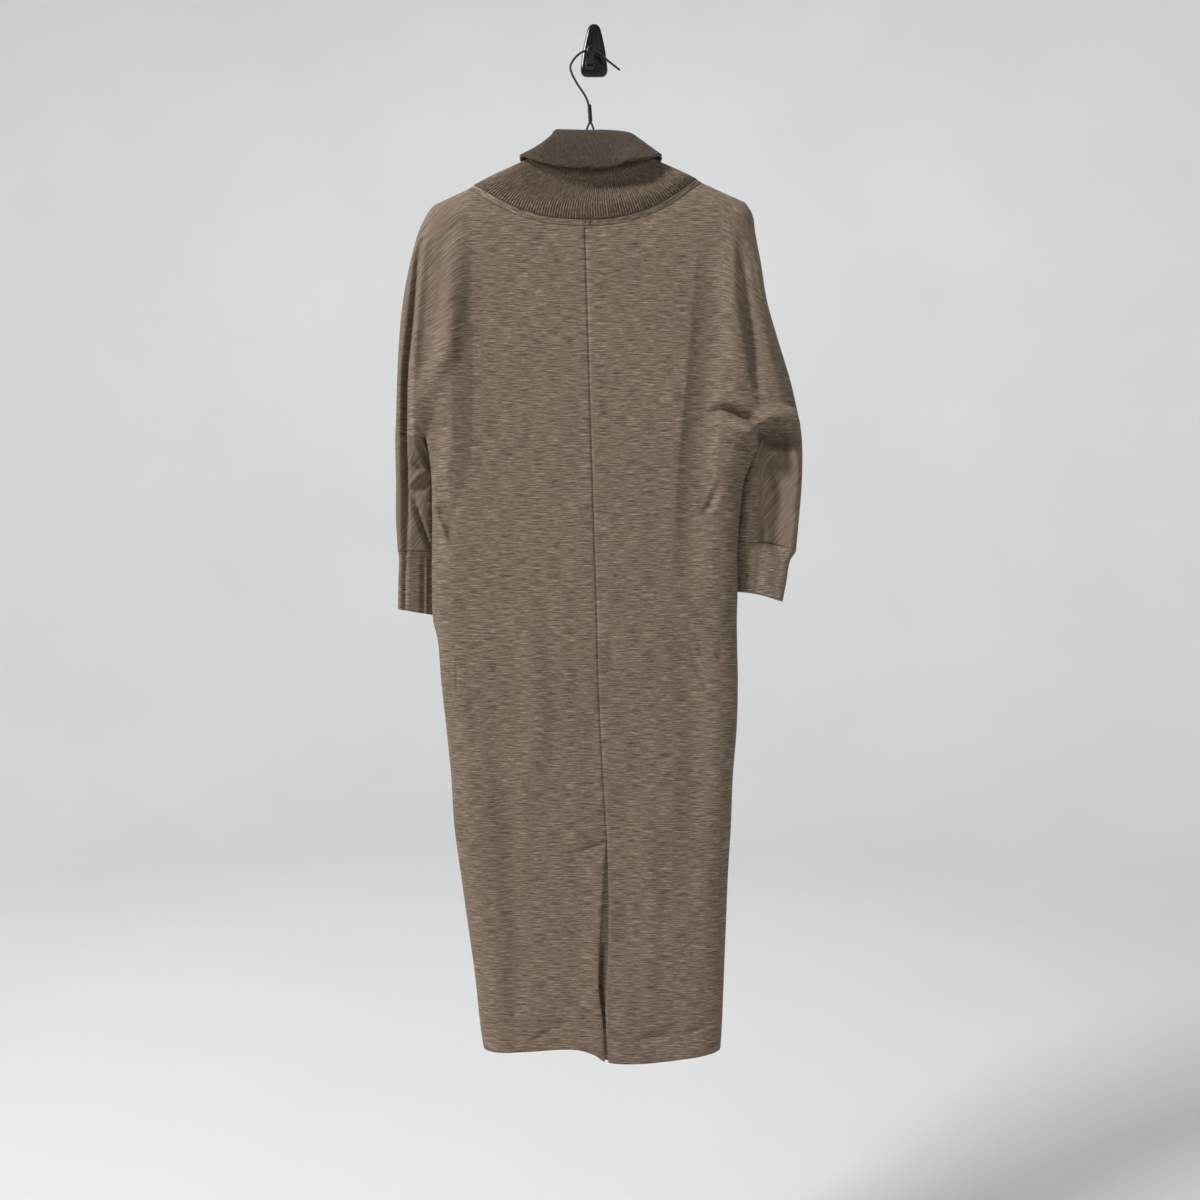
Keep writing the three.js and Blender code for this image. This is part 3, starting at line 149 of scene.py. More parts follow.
# Folds of the back: kind, half width, rise towards the viewer, and path. A soft one is a rounded
# ridge or trough, a crease is sharp, and a lap stands out on the left of its path, looking along
# it, and falls away steeply on the right. A bank climbs evenly on the left of its path, up to a
# ridge at its width, and fades out beyond; a gully does the same, but ends soon after its width. A
# cup is an even hollow on the left of its path, with sharp lips.
BACK_FOLDS = [
    ("soft", 6, -15, [
        (-218, -256), (-223, -270), (-232, -357), (-239, -423), (-241, -509), (-240, -590), (-240, -655),
    ]),
    ("lap", 12, 5, [(-214, -255), (-223, -346), (-229, -423), (-230, -487), (-230, -508)]),
    ("soft", 22, 7, [
        (-172, -262), (-176, -334), (-182, -391), (-194, -418), (-209, -446), (-222, -474), (-228, -498),
    ]),
    ("bank", 25, 8, [
        (-186, -645), (-176, -600), (-161, -558), (-154, -520), (-152, -450), (-152, -370), (-154, -300),
        (-156, -262),
    ]),
    ("soft", 20, -7, [(-205, -470), (-196, -500), (-192, -530)]),
    ("soft", 9, 6, [(-225, -503), (-213, -513), (-199, -521)]),
    ("crease", 6, -12, [(-222, -517), (-216, -528), (-212, -547)]),
    ("crease", 5, -6, [(-231, -539), (-224, -545), (-217, -549)]),
    ("lap", 11, 7, [(-231, -567), (-223, -559), (-216, -551)]),
    ("crease", 6, -15, [(-230, -586), (-223, -611), (-214, -637), (-209, -648)]),
    ("soft", 12, -6, [(-203, -528), (-197, -556), (-192, -580)]),
    ("crease", 6, -6, [(-207, -562), (-198, -577), (-185, -581)]),
    ("soft", 8, 6, [(-206, -589), (-199, -594), (-192, -597)]),
    ("soft", 8, -6, [(-197, -602), (-190, -612)]),
    ("soft", 7, 5, [(-198, -606), (-192, -625), (-187, -640)]),
    ("soft", 8, -3, [(-184, -612), (-178, -640)]),
    ("soft", 22, 8, [(168, -280), (174, -320), (180, -380), (184, -440)]),
    ("cup", 48, -7, [
        (134, -250), (128, -300), (122, -370), (116, -440), (111, -500), (105, -570), (100, -660), (98, -700),
    ]),
    ("soft", 12, -8, [(187, -262), (190, -332), (200, -395), (211, -464)]),
    ("soft", 14, 4, [(206, -330), (222, -400), (238, -458)]),
    ("lap", 10, 5, [(221, -350), (214, -315), (209, -286), (205, -258)]),
    ("crease", 10, -15, [(150, -474), (164, -472), (178, -477), (192, -484), (207, -489), (213, -500)]),
    ("soft", 11, 5, [(158, -458), (180, -463), (203, -473)]),
    ("soft", 17, 12, [(174, -492), (194, -499), (207, -508)]),
    ("soft", 12, 7, [(216, -476), (236, -474), (256, -480)]),
    ("lap", 22, 24, [(203, -500), (215, -491), (229, -487), (247, -488), (258, -492), (272, -500)]),
    ("gully", 40, -24, [(206, -468), (200, -520), (201, -560), (196, -620), (190, -700), (188, -790)]),
    ("soft", 12, -12, [(214, -504), (228, -505), (244, -510)]),
    ("lap", 9, 6, [(236, -506), (238, -540), (243, -566), (250, -592)]),
    ("soft", 7, -7, [(243, -500), (249, -530), (253, -555)]),
    ("soft", 9, -6, [(158, -567), (149, -590), (140, -606)]),
    ("crease", 4, -3, [(191, -556), (184, -571), (176, -582)]),
    ("crease", 5, -4, [(216, -590), (217, -652)]),
    ("soft", 26, 3.5, [(-90, -740), (-70, -835), (-82, -960)]),
    ("soft", 28, -3.5, [(110, -760), (128, -900), (118, -1080)]),
    ("soft", 24, -3.5, [(-120, -900), (-104, -1060), (-92, -1230)]),
    ("soft", 20, 2.5, [(60, -980), (74, -1110), (66, -1240)]),
    ("bank", 12, 2.6, [(-147, -842), (-157, -833), (-167, -824)]),
    ("crease", 4, -2, [(-174, -788), (-173, -835)]),
    ("crease", 4, -1.8, [(-191, -810), (-167, -818)]),
    ("soft", 8, -2.6, [(-130, -788), (-116, -810)]),
    ("soft", 6, -2, [(17, -759), (25, -786)]),
    ("soft", 8, -2.6, [(122, -773), (132, -800), (144, -825)]),
    ("soft", 6, -2.2, [(132, -771), (138, -790)]),
    ("soft", 8, -2.6, [(158, -778), (160, -792)]),
    ("crease", 7, -2.6, [(-138, -1246), (-90, -1251), (-50, -1247), (-4, -1254)]),
    ("soft", 8, -3.2, [(-82, -1272), (-56, -1258), (-30, -1246)]),
    ("crease", 7, -2.6, [(24, -1262), (70, -1266), (110, -1259), (158, -1252)]),
    ("soft", 8, -3.2, [(46, -1276), (82, -1262), (112, -1248)]),
    ("soft", 8, -3, [(92, -1274), (120, -1262), (140, -1250)]),
    ("lap", 7, 4.5, [(-22, -1026), (-17, -1024), (0, -1018.5), (18, -1014)]),
    ("crease", 6, -5, [(18, -1011), (0, -1015.5), (-18, -1021)]),
    ("soft", 5, 2.5, [(-14, -1027), (-21, -1027)]),
]
FLAP_FOLD = ("soft", 26, 4, [(14, -1050), (7, -1159), (8, -1215), (13, -1270)])
FRONT_FOLDS = [
    ("soft", 9, -7, [(-224, -262), (-236, -390), (-240, -560)]),
    ("soft", 22, -4, [(-150, -300), (-168, -420), (-190, -500)]),
    ("soft", 22, -4, [(150, -290), (172, -400), (196, -496)]),
    ("soft", 12, -5, [(214, -300), (238, -420), (246, -580)]),
    ("soft", 30, -3, [(-60, -420), (-48, -640), (-70, -860)]),
    ("soft", 30, -3, [(70, -520), (84, -760), (66, -1000)]),
    ("soft", 24, -3, [(-104, -900), (-90, -1080), (-96, -1240)]),
    ("crease", 6, -4, [(-206, -522), (-188, -546), (-172, -590)]),
    ("crease", 6, -4, [(206, -520), (184, -552), (170, -604)]),
    ("soft", 9, -3, [(-204, -540), (-196, -580), (-186, -640)]),
    ("soft", 9, -3, [(190, -560), (176, -610), (168, -660)]),
    ("crease", 5, -1.4, [(-120, -790), (-96, -806)]),
    ("crease", 5, -1.4, [(110, -772), (130, -820)]),
    ("crease", 6, -1, [(-136, -1250), (-60, -1254), (10, -1250), (80, -1256), (156, -1250)]),
]


def lerp(a, b, t):
    return a + (b - a) * t


def smooth(t):
    c = np.clip(t, 0, 1)
    return c * c * (3 - 2 * c)


def rounding(share):
    """Rise of a rounded edge, from 0 at the edge to 1 on the flat."""
    return np.sqrt(1 - (1 - np.clip(share, 0, 1)) ** 2)


def along(rows, column, value):
    """Smooth interpolation through the rows of a table."""
    keys, values = next(iter(rows.values())), rows[column]
    if keys[0] > keys[-1]:
        keys, values = keys[::-1], values[::-1]
    value = np.clip(value, keys[0], keys[-1])
    i = np.clip(np.searchsorted(keys, value, side="right") - 1, 0, len(keys) - 2)
    span = keys[i + 1] - keys[i]
    t = (value - keys[i]) / span

    def slope(k):
        before, after = np.maximum(k - 1, 0), np.minimum(k + 1, len(keys) - 1)
        return (values[after] - values[before]) / (keys[after] - keys[before]) * span

    start = values[i] * (2 * t**3 - 3 * t**2 + 1) + slope(i) * (t**3 - 2 * t**2 + t)
    return start + values[i + 1] * (3 * t**2 - 2 * t**3) + slope(i + 1) * (t**3 - t**2)


def curve_between(a, b, c, d, t):
    """Place on a smooth curve between b and c, whose neighbours are a and d."""
    bend = (2 * a - 5 * b + 4 * c - d) * t**2 + (3 * b - a - 3 * c + d) * t**3
    return 0.5 * (2 * b + (c - a) * t + bend)


def smooth_path(points, step=8.0):
    """A curve through given points, as short stretches."""
    p = np.array(points, float)
    if len(p) < 3:
        return p
    padded = np.vstack([2 * p[0] - p[1], p, 2 * p[-1] - p[-2]])
    parts = []
    for i in range(len(p) - 1):
        a, b, c, d = padded[i : i + 4]
        count = max(2, int(np.linalg.norm(c - b) / step))
        t = np.linspace(0, 1, count, endpoint=False)[:, None]
        parts.append(curve_between(a, b, c, d, t))
    return np.vstack([*parts, p[-1:]])


def nearest(line, x, z):
    """Distance to a line of stretches, the share of its length reached, and the side of it."""
    lengths = np.hypot(*(line[1:] - line[:-1]).T)
    starts = np.concatenate([[0], np.cumsum(lengths)])
    best = np.full(np.shape(x), np.inf)
    share = np.zeros(np.shape(x))
    turn = np.zeros(np.shape(x))
    for (ax, az), (bx, bz), start, length in zip(line[:-1], line[1:], starts, lengths):
        dx, dz = bx - ax, bz - az
        t = np.clip(((x - ax) * dx + (z - az) * dz) / (dx * dx + dz * dz), 0, 1)
        d = np.hypot(x - ax - t * dx, z - az - t * dz)
        closer = d < best
        best = np.where(closer, d, best)
        share = np.where(closer, (start + t * length) / starts[-1], share)
        turn = np.where(closer, np.sign(dx * (z - az) - dz * (x - ax)), turn)
    return best, share, turn


LAP_REACH = 1.6
REACHES = {"soft": 1, "crease": 1, "lap": LAP_REACH, "bank": 2.6, "gully": 1.45, "cup": 1}
LAP_EDGE = 3.0


def fold_rise(fold, x, z):
    """Rise of one fold at each point."""
    kind, width, rise, points = fold
    line = smooth_path(points)
    reach = width * REACHES[kind]
    low, high = line.min(axis=0) - reach, line.max(axis=0) + reach
    near = (x > low[0]) & (x < high[0]) & (z > low[1]) & (z < high[1])
    result = np.zeros(np.shape(x))
    if not near.any():
        return result
    d, share, turn = nearest(line, x[near], z[near])
    if kind in ("bank", "gully", "cup"):
        taper = np.sin(np.pi * share) ** 0.7
    else:
        taper = np.sin(np.pi * (0.12 + share * 0.76))
    t = np.clip(d / width, 0, 1)
    if kind == "soft":
        shape = 0.5 + 0.5 * np.cos(np.pi * t)
    elif kind in ("bank", "gully"):
        side = turn * d / width
        beyond = 0.5 + 0.5 * np.cos(np.pi * np.clip((side - 1) / (REACHES[kind] - 1), 0, 1))
        shape = np.where(side < 1, np.maximum(side, 0), beyond)
    elif kind == "cup":
        side = np.clip(turn * d / width, 0, 1)
        shape = 4 * side * (1 - side)
    elif kind == "crease":
        shape = (1 - t) ** 2
    else:
        ridge = 1 - smooth(t)
        drop = -0.7 * np.sin(np.pi * np.clip(d / (width * LAP_REACH), 0, 1))
        shape = lerp(drop, ridge, smooth(0.5 + turn * d / LAP_EDGE))
    result[near] = rise * taper * shape
    return result


WAVES = np.random.default_rng(11)
WAVE_ROWS = [
    (WAVES.uniform(0, 2 * math.pi), WAVES.uniform(0, 2 * math.pi), WAVES.uniform(70, 190)) for _ in range(14)
]


def undulation(x, z):
    """Slight unevenness of hanging cloth, in millimetres."""
    total = np.zeros(np.shape(x))
    for angle, phase, length in WAVE_ROWS:
        across = (1.5 * x * math.cos(angle) + 0.7 * z * math.sin(angle)) * 2 * math.pi / length
        total += np.sin(across + phase)
    return 0.16 * total


def arm_line(side, x):
    """Top line of the cloth over an arm of the hanger."""
    s = SIDES[side]
    return ARM_TOP_Z + (s["end_z"] - ARM_TOP_Z) * (x - s["arm_x"]) / (s["end_x"] - s["arm_x"]) + ARM_LIFT


def outline(side):
    """Seam outline of one half: over the shoulder and arm, and down the body's side."""
    s = SIDES[side]
    over = [(s["arm_x"], arm_line(side, s["arm_x"])), (s["shoulder_x"], arm_line(side, s["shoulder_x"]))]
    over += [(float(along(OVERARM, side, z)), z) for z in np.arange(-209.0, -760.0, -8.0)]
    body = [(float(along(BODY_SIDE, side, z)), z) for z in np.arange(UNDERARM_Z, -1320.0, -12.0)]
    return np.array(over), np.array(body)


OUTLINES = {side: outline(side) for side in SIDES}


def sleeve_share(side, x, z):
    s = SIDES[side]
    across = (s["sign"] * (x - s["armpit_x"]) + 12) / 30
    return smooth(across) * smooth((UNDERARM_Z + 80 - z) / 80)


def folds_at(face, side, x, z):
    folds = BACK_FOLDS if face == "back" else FRONT_FOLDS
    rise = sum(fold_rise(fold, x, z) for fold in folds)
    return rise + undulation(x, z)


def surface_y(face, side, x, z):
    """Depth of the outer face of the back or the front."""
    x, z = np.broadcast_arrays(np.asarray(x, float), np.asarray(z, float))
    seam = along(DEPTH, "seam", z)
    depth = along(DEPTH, "back", z) if face == "back" else FRONT_Y - seam
    sleeve = sleeve_share(side, x, z)
    out = lerp(depth, np.minimum(depth, SLEEVE_DEPTH), sleeve)
    radius = lerp(EDGE_ROUNDING[face], min(SLEEVE_ROUNDING, EDGE_ROUNDING[face]), sleeve)
    over, body = OUTLINES[side]
    to_over = nearest(over, x, z)[0]
    to_body = nearest(body, x, z)[0]
    reach = out * rounding(to_over / radius) * rounding(to_body / radius)
    rise = folds_at(face, side, x, z) * smooth(np.minimum(to_over, to_body) / 5)
    if face == "back" and side == "left":
        rise = rise + fold_rise(FLAP_FOLD, x, z)
    if face == "back":
        return np.minimum(seam - reach - rise, BACK_LIMIT_Y)
    return np.minimum(seam + reach + rise, FRONT_Y + 2.5)


def neck_z(face, x):
    """Neckline height between the neck sides."""
    half = (SIDES["right"]["neck_x"] - SIDES["left"]["neck_x"]) / 2
    u = np.minimum(1, np.abs(x - NECK_MIDDLE_X) / half)
    ends = {side: float(arm_line(side, s["neck_x"])) for side, s in SIDES.items()}
    end = np.where(x < NECK_MIDDLE_X, ends["left"], ends["right"])
    return lerp(end, NECK_LOW[face], 1 - u**NECK_POWER)


FINE = np.linspace(0, 2 * math.pi, 7201)
ARC = np.concatenate([[0], np.cumsum(np.hypot(
    np.diff(RING_HALF_LENGTH * np.cos(FINE)), np.diff(RING_HALF_DEPTH * np.sin(FINE))
))])


def ring_angle(share):
    """Angle on a flat ellipse at a share of its length. The back's middle is at a quarter."""
    return np.interp(np.mod(share, 1), ARC / ARC[-1], FINE)


def neck_points(angle):
    """Points of the neck seam on the dress."""
    u, w = np.cos(angle), np.sin(angle)
    x = lerp(SIDES["left"]["neck_x"], SIDES["right"]["neck_x"], (u + 1) / 2)
    y = np.zeros(len(x))
    z = np.where(w >= 0, neck_z("back", x), neck_z("front", x))
    for face, on_face in (("back", w >= 0), ("front", w < 0)):
        for side, on_side in (("left", x < NECK_MIDDLE_X), ("right", x >= NECK_MIDDLE_X)):
            here = on_face & on_side
            y[here] = surface_y(face, side, x[here], z[here])
    ends = np.abs(w) < 1e-4
    y[ends] = along(DEPTH, "seam", z[ends])
    return np.stack([x, y, z], axis=-1)


def collar_ring(k, angle):
    """Points of one ring of the collar."""
    ring = {name: column[k] for name, column in COLLAR_RINGS.items()}
    u, w = np.cos(angle), np.sin(angle)
    share = (u + 1) / 2
    end_z = lerp(ring["left_z"], ring["right_z"], share)
    back = w >= 0
    deep = np.abs(w)
    z = lerp(end_z, np.where(back, ring["back_z"], ring["front_z"]), deep**RING_DROP)
    rounded = rounding(deep / RING_SWELL["rounded_within"])
    swell = np.where(back, lerp(rounded, deep ** RING_SWELL["power"], RING_SWELL["share"]), rounded)
    y = lerp(SHOULDER_Y, np.where(back, ring["back_y"], ring["front_y"]), swell)
    return np.stack([lerp(ring["left"], ring["right"], share), y, z], axis=-1)


def unit(vectors):
    return vectors / np.maximum(np.linalg.norm(vectors, axis=-1, keepdims=True), 1e-9)


def neck_frames(count):
    """Neck seam points with the direction out of the cloth and the direction up into the collar."""
    angle = ring_angle(np.arange(count) / count)
    u, w = np.cos(angle), np.sin(angle)
    p = neck_points(angle)
    tangent = unit(np.roll(p, -1, axis=0) - np.roll(p, 1, axis=0))
    out = unit(np.cross(tangent, collar_ring(0, angle) - p))
    out *= np.where(out[:, 0] * u * 0.2 - out[:, 1] * w < 0, -1, 1)[:, None]
    ends = np.abs(w) < 1e-4
    out[ends, 1] = 0
    out = unit(out)
    up = unit(np.cross(out, tangent))
    up *= np.where(up[:, 2] < 0, -1, 1)[:, None]
    return angle, p, out, up


# Meshes


def thicken(piece, thickness):
    """Gives a surface its thickness, on its inner side."""
    shell = piece.modifiers.new("thickness", "SOLIDIFY")
    shell.thickness = thickness * MM
    shell.offset = -1


class Cloth:
    """Grids of points of one piece, with cloth coordinates along and across the knit rows."""

    def __init__(self):
        self.points = []
        self.cloth = []
        self.faces = []
        self.count = 0

    def add(self, points, cloth):
        """Adds a grid of points and returns its indices."""
        shape = points.shape[:-1]
        index = self.count + np.arange(np.prod(shape)).reshape(shape)
        self.points.append(points.reshape(-1, 3))
        self.cloth.append(np.stack(cloth, axis=-1).reshape(-1, 2))
        self.count += index.size
        return index

    def quads(self, index, flip):
        """Fills a grid of indices with faces, turned over when flip is set."""
        a, b, c, d = index[:-1, :-1], index[:-1, 1:], index[1:, 1:], index[1:, :-1]
        corners = (a, d, c, b) if flip else (a, b, c, d)
        self.faces.append(np.stack(corners, axis=-1).reshape(-1, 4))

    def build(self, name, material, thickness, groove=None):
        """Makes the piece. The groove of a point, from 0 to 1, darkens its colour as painted shade in the hollows
        between ribs.
        """
        points = np.vstack(self.points) * MM
        cloth = np.vstack(self.cloth) * MM
        faces = np.vstack(self.faces)
        mesh = bpy.data.meshes.new(name)
        mesh.vertices.add(len(points))
        mesh.vertices.foreach_set("co", points.ravel())
        mesh.loops.add(faces.size)
        mesh.loops.foreach_set("vertex_index", faces.ravel().astype(np.int32))
        mesh.polygons.add(len(faces))
        mesh.polygons.foreach_set("loop_start", np.arange(0, faces.size, 4, dtype=np.int32))
        mesh.update(calc_edges=True)
        mesh.polygons.foreach_set("use_smooth", np.ones(len(faces), bool))
        layer = mesh.attributes.new("cloth", "FLOAT_VECTOR", "POINT")
        layer.data.foreach_set("vector", np.hstack([cloth, np.zeros((len(cloth), 1))]).ravel())
        depth = mesh.attributes.new("groove", "FLOAT", "POINT")
        depth.data.foreach_set("value", np.zeros(len(points)) if groove is None else groove.ravel())
        mesh.materials.append(material)
        piece = bpy.data.objects.new(name, mesh)
        bpy.context.scene.collection.objects.link(piece)
        if thickness:
            thicken(piece, thickness)
        return piece


COLUMNS = {"back": 92, "front": 56}
ARM_COLUMNS = {"back": 26, "front": 16}
YOKE_ROWS = {"back": 140, "front": 70}
BODY_ROWS = {"back": 240, "front": 150}
SLEEVE_ROWS = {"back": 66, "front": 40}
SLIT_OVERLAP = 3.0
SLIT_Y = -11.0


def edge_fine(count, slow=0.15):
    """Shares from 0 to 1 that lie closer together towards 1."""
    t = np.linspace(0, 1, count + 1)
    return slow * t + (1 - slow) * np.sin(t * math.pi / 2)


def centre_x(face, side, z):
    if face == "front":
        return lerp(NECK_MIDDLE_X, 0, smooth((NECK_LOW["front"] - z) / 300))
    seam = along(CENTRE_BACK, "x", z)
    return np.where(z > VENT_TOP_Z, seam, along(VENT_EDGES, side, z)) + SIDES[side]["sign"] * 0.1


def shear(side, x, z):
    """How far the knit rows have sunk at a point, where the cloth turns down into the sleeve."""
    s = SIDES[side]
    beyond = np.maximum(0, s["sign"] * x - 158)
    upper = smooth((z + 440) / 120) * 1.25
    below = 1.35 * smooth((-500 - z) / 30) * smooth((s["sign"] * (x - s["armpit_x"]) + 4) / 8)
    slope = upper + below * (1 if side == "left" else -1)
    return slope * (beyond**2 / (beyond + 24))


def cloth_coordinates(side, x, z):
    drop = shear(side, x, z)
    return x + 0.5 * drop, z + drop


def sleeve_inner(side, z):
    s = SIDES[side]
    return along(BODY_SIDE, side, z) - s["sign"] * SLIT_OVERLAP * smooth((UNDERARM_Z - z) / 40)


def section_y(face, side, share, half, z):
    """Depth round a sleeve or cuff. Its inner edge lies deep, behind the side of the body."""
    seam = along(DEPTH, "seam", z)
    inner = lerp(seam, SLIT_Y, smooth((UNDERARM_Z - z) / 30))
    base = lerp(inner, seam, share)
    round_share = np.sqrt(np.clip(1 - (2 * share - 1) ** 4, 0, 1))
    return base - half * round_share if face == "back" else base + 0.75 * half * round_share


def add_half(sheet, face, side):
    """One half of the back or front: the yoke, then the body and the sleeve side by side."""
    s = SIDES[side]
    near_centre = np.array([0, 0.5, 1.1, 2.0, 3.2]) / 210
    shares = edge_fine(COLUMNS[face])
    body = np.concatenate([near_centre, shares[shares > 0.02]])
    arm = 0.5 - 0.5 * np.cos(np.linspace(0, math.pi, ARM_COLUMNS[face] + 1))
    last = len(body) - 1
    v_yoke = 1 - edge_fine(YOKE_ROWS[face], 0.5)[::-1]

    quarter = body if side == "left" else -body
    angle = ring_angle(0.25 + 0.25 * quarter if face == "back" else 0.75 - 0.25 * quarter)
    neck = neck_points(angle)
    arm_x = lerp(s["neck_x"], s["shoulder_x"], arm[1:])
    top_x = np.concatenate([neck[:, 0], arm_x])
    top_z = np.concatenate([neck[:, 2], arm_line(side, arm_x)])
    arm_end = along(OVERARM, side, UNDERARM_Z)
    end_x = np.concatenate([
        lerp(centre_x(face, side, UNDERARM_Z), s["armpit_x"], body),
        lerp(s["armpit_x"], arm_end, arm[1:]),
    ])

    v = v_yoke[:, None]
    outer_x = along(OVERARM, side, lerp(top_z[-1], UNDERARM_Z, v))
    plain_outer = lerp(top_x[-1], end_x[-1], v)
    plain_middle = lerp(top_x[0], end_x[0], v)
    z = lerp(top_z[None, :], UNDERARM_Z, v)
    share = (lerp(top_x[None, :], end_x[None, :], v) - plain_middle) / (plain_outer - plain_middle)
    x = lerp(centre_x(face, side, z), outer_x, share)
    x[0] = top_x
    y = surface_y(face, side, x, z)
    seam = along(DEPTH, "seam", z)
    y[0, last:] = seam[0, last:]
    y[:, -1] = seam[:, -1]
    y[-1, last] = seam[-1, last]
    if face == "back":
        y += 1.3 * (1 - smooth((np.abs(x - centre_x(face, side, z)) - 0.1) / 2.4)) * (z < top_z[0] - 2)
    yoke = sheet.add(np.stack([x, y, z], axis=-1), cloth_coordinates(side, x, z))

    hem_end = np.array([0.0006, 0.0014, 0.0026, 0.0045])
    v = np.concatenate([np.linspace(0, 1, BODY_ROWS[face])[1:-1], 1 - hem_end[::-1], [1]])[:, None]
    v = np.sort(v, axis=0)
    foot = lerp(centre_x(face, side, -1280.0), along(BODY_SIDE, side, -1280.0), body)
    z = lerp(UNDERARM_Z, along(HEM, face, foot)[None, :], v)
    x = lerp(centre_x(face, side, z), along(BODY_SIDE, side, z), body[None, :])
    y = surface_y(face, side, x, z)
    seam = along(DEPTH, "seam", z)
    y[:, -1] = seam[:, -1]
    inward = 1 if face == "back" else -1
    y += inward * 1.4 * smooth((v - 0.9965) / 0.0035) ** 2
    if face == "back":
        groove = 1.3 * (1 - smooth((np.abs(x - centre_x(face, side, z)) - 0.1) / 2.4))
        y += np.where(z > VENT_TOP_Z, groove, groove * 0.6)
    rows = sheet.add(np.stack([x, y, z], axis=-1), cloth_coordinates(side, x, z))
    lower = np.vstack([yoke[-1:, : last + 1], rows])

    cuff = {name: column[0] for name, column in CUFFS[side].items()}
    v = np.linspace(0, 1, SLEEVE_ROWS[face] + 1)[1:, None]
    dip = CUFF_SEAM_DIP[side] * np.sin(math.pi * arm)
    z = lerp(UNDERARM_Z, (lerp(cuff["inner_z"], cuff["outer_z"], arm) + dip)[None, :], v)
    x = lerp(sleeve_inner(side, z), along(OVERARM, side, z), arm[None, :])
    fade = smooth(np.minimum(arm, 1 - arm) / 0.1)[None, :]
    lift = folds_at(face, side, x, z) * fade
    section = section_y(face, side, arm[None, :], cuff["half"], z) + (-lift if face == "back" else lift)
    y = lerp(surface_y(face, side, x, z), section, smooth((UNDERARM_Z - z) / 36))
    y[:, -1] = along(DEPTH, "seam", z[:, -1])
    y[:, 0] = section[:, 0]
    y = np.minimum(y, BACK_LIMIT_Y if face == "back" else FRONT_Y + 2.5)
    rows = sheet.add(np.stack([x, y, z], axis=-1), cloth_coordinates(side, x, z))
    sleeve = np.vstack([yoke[-1:, last:], rows])

    flip = (face == "back") == (side == "right")
    for index in (yoke, lower, sleeve):
        sheet.quads(index, flip)


def back_half(side):
    sheet = Cloth()
    add_half(sheet, "back", side)
    return sheet.build(f"back_{side}_cloth", KNIT, CLOTH_THICKNESS)


def front():
    sheet = Cloth()
    add_half(sheet, "front", "left")
    add_half(sheet, "front", "right")
    piece = sheet.build("front_cloth", KNIT, None)
    weld = piece.modifiers.new("middle", "WELD")
    weld.merge_threshold = 0.2 * MM
    thicken(piece, CLOTH_THICKNESS)
    return piece


def neck_band():
    count = 704
    angle, p, out, up = neck_frames(count)
    t = np.linspace(0, 1, 13)[:, None, None]
    bulge = 0.9 * np.sqrt(np.clip(1 - (2 * t - 1) ** 4, 0, 1)) - 0.7
    points = p + up * (t * BAND_HEIGHT) + out * bulge
    x = p[:, 0]
    puckers = 0.7 * np.sin(x * 0.42 + 1.3 * np.sin(x * 0.11)) * smooth((x + 12) / 8) * smooth((40 - x) / 26)
    puckers = (puckers - 1.6 * np.exp(-((x + 10.5) / 2.4) ** 2)) * (np.sin(angle) > 0)
    points = points + out * (puckers[None, :, None] * np.sin(math.pi * t) ** 2)
    sheet = Cloth()
    around = np.arange(count) / count * NECK_LENGTH
    coordinates = np.broadcast_arrays(around[None, :], t[:, :, 0] * BAND_HEIGHT)
    index = sheet.add(points, coordinates)
    sheet.quads(np.hstack([index, index[:, :1]]), True)
    return sheet.build("neck_band_cloth", KNIT, CLOTH_THICKNESS)


def collar():
    count = RIBS * STEPS_PER_RIB
    angle, p, out, up = neck_frames(count)
    rings = [p + up * (BAND_HEIGHT + 0.3)] + [collar_ring(k, angle) for k in range(len(COLLAR_RINGS["rows"]))]
    rings = np.array(rings)
    padded = np.concatenate([[2 * rings[0] - rings[1]], rings, [2 * rings[-1] - rings[-2]]])
    rows = []
    for k, steps in enumerate(COLLAR_RINGS["rows"].astype(int)):
        a, b, c, d = padded[k : k + 4]
        rows.extend(curve_between(a, b, c, d, t) for t in np.arange(steps) / steps)
    rows.append(rings[-1])
    points = np.array(rows)
    height = np.linspace(0, 1, len(points))[:, None]

    x = points[:, :, 0]
    back = np.sin(angle)[None, :] > 0
    notch = np.exp(-((x[-1] + 7) / 3.0) ** 2) * back[0]
    points[-1, :, 2] += 3.0 * notch
    points[-2, :, 2] += 1.2 * notch
    lifted = smooth((height - 0.85) / 0.15) * np.exp(-((x - 44) / 16) ** 2) * back
    points[:, :, 1] -= 4.0 * lifted
    points[:, :, 2] += 2.5 * lifted
    waves = 0.7 * np.sin(x * 0.075 + 1.2) + 0.5 * np.sin(x * 0.17 + 4 * height)
    points[:, :, 1] += waves * np.sin(math.pi * np.clip(height, 0, 1)) * back

    across = np.roll(points, -1, axis=1) - np.roll(points, 1, axis=1)
    normal = unit(np.cross(np.gradient(points, axis=0), across))
    step = np.arange(count) % STEPS_PER_RIB
    crown = np.array([-1.0, 0.0, 0.8, 1.0, 0.8, 0.0])[step]
    pitch = np.linalg.norm(across, axis=-1) / 2 * STEPS_PER_RIB
    depth = np.clip(0.25 * pitch, 0.3, 0.85)
    points = points + normal * (crown[None, :] * depth)[..., None]
    # Painted shade: the colour is darkened fully at the bottom of each rib's valley and partly on its flanks.
    groove = np.broadcast_to(np.array([1.0, 0.35, 0, 0, 0, 0.35])[step][None, :], points.shape[:2])

    sheet = Cloth()
    around = np.arange(count)[None, :] / count * NECK_LENGTH
    coordinates = np.broadcast_arrays(around, height * COLLAR_HEIGHT)
    index = sheet.add(points, coordinates)
    sheet.quads(np.hstack([index, index[:, :1]]), True)
    return sheet.build("collar_cloth", RIB, COLLAR_THICKNESS, groove)


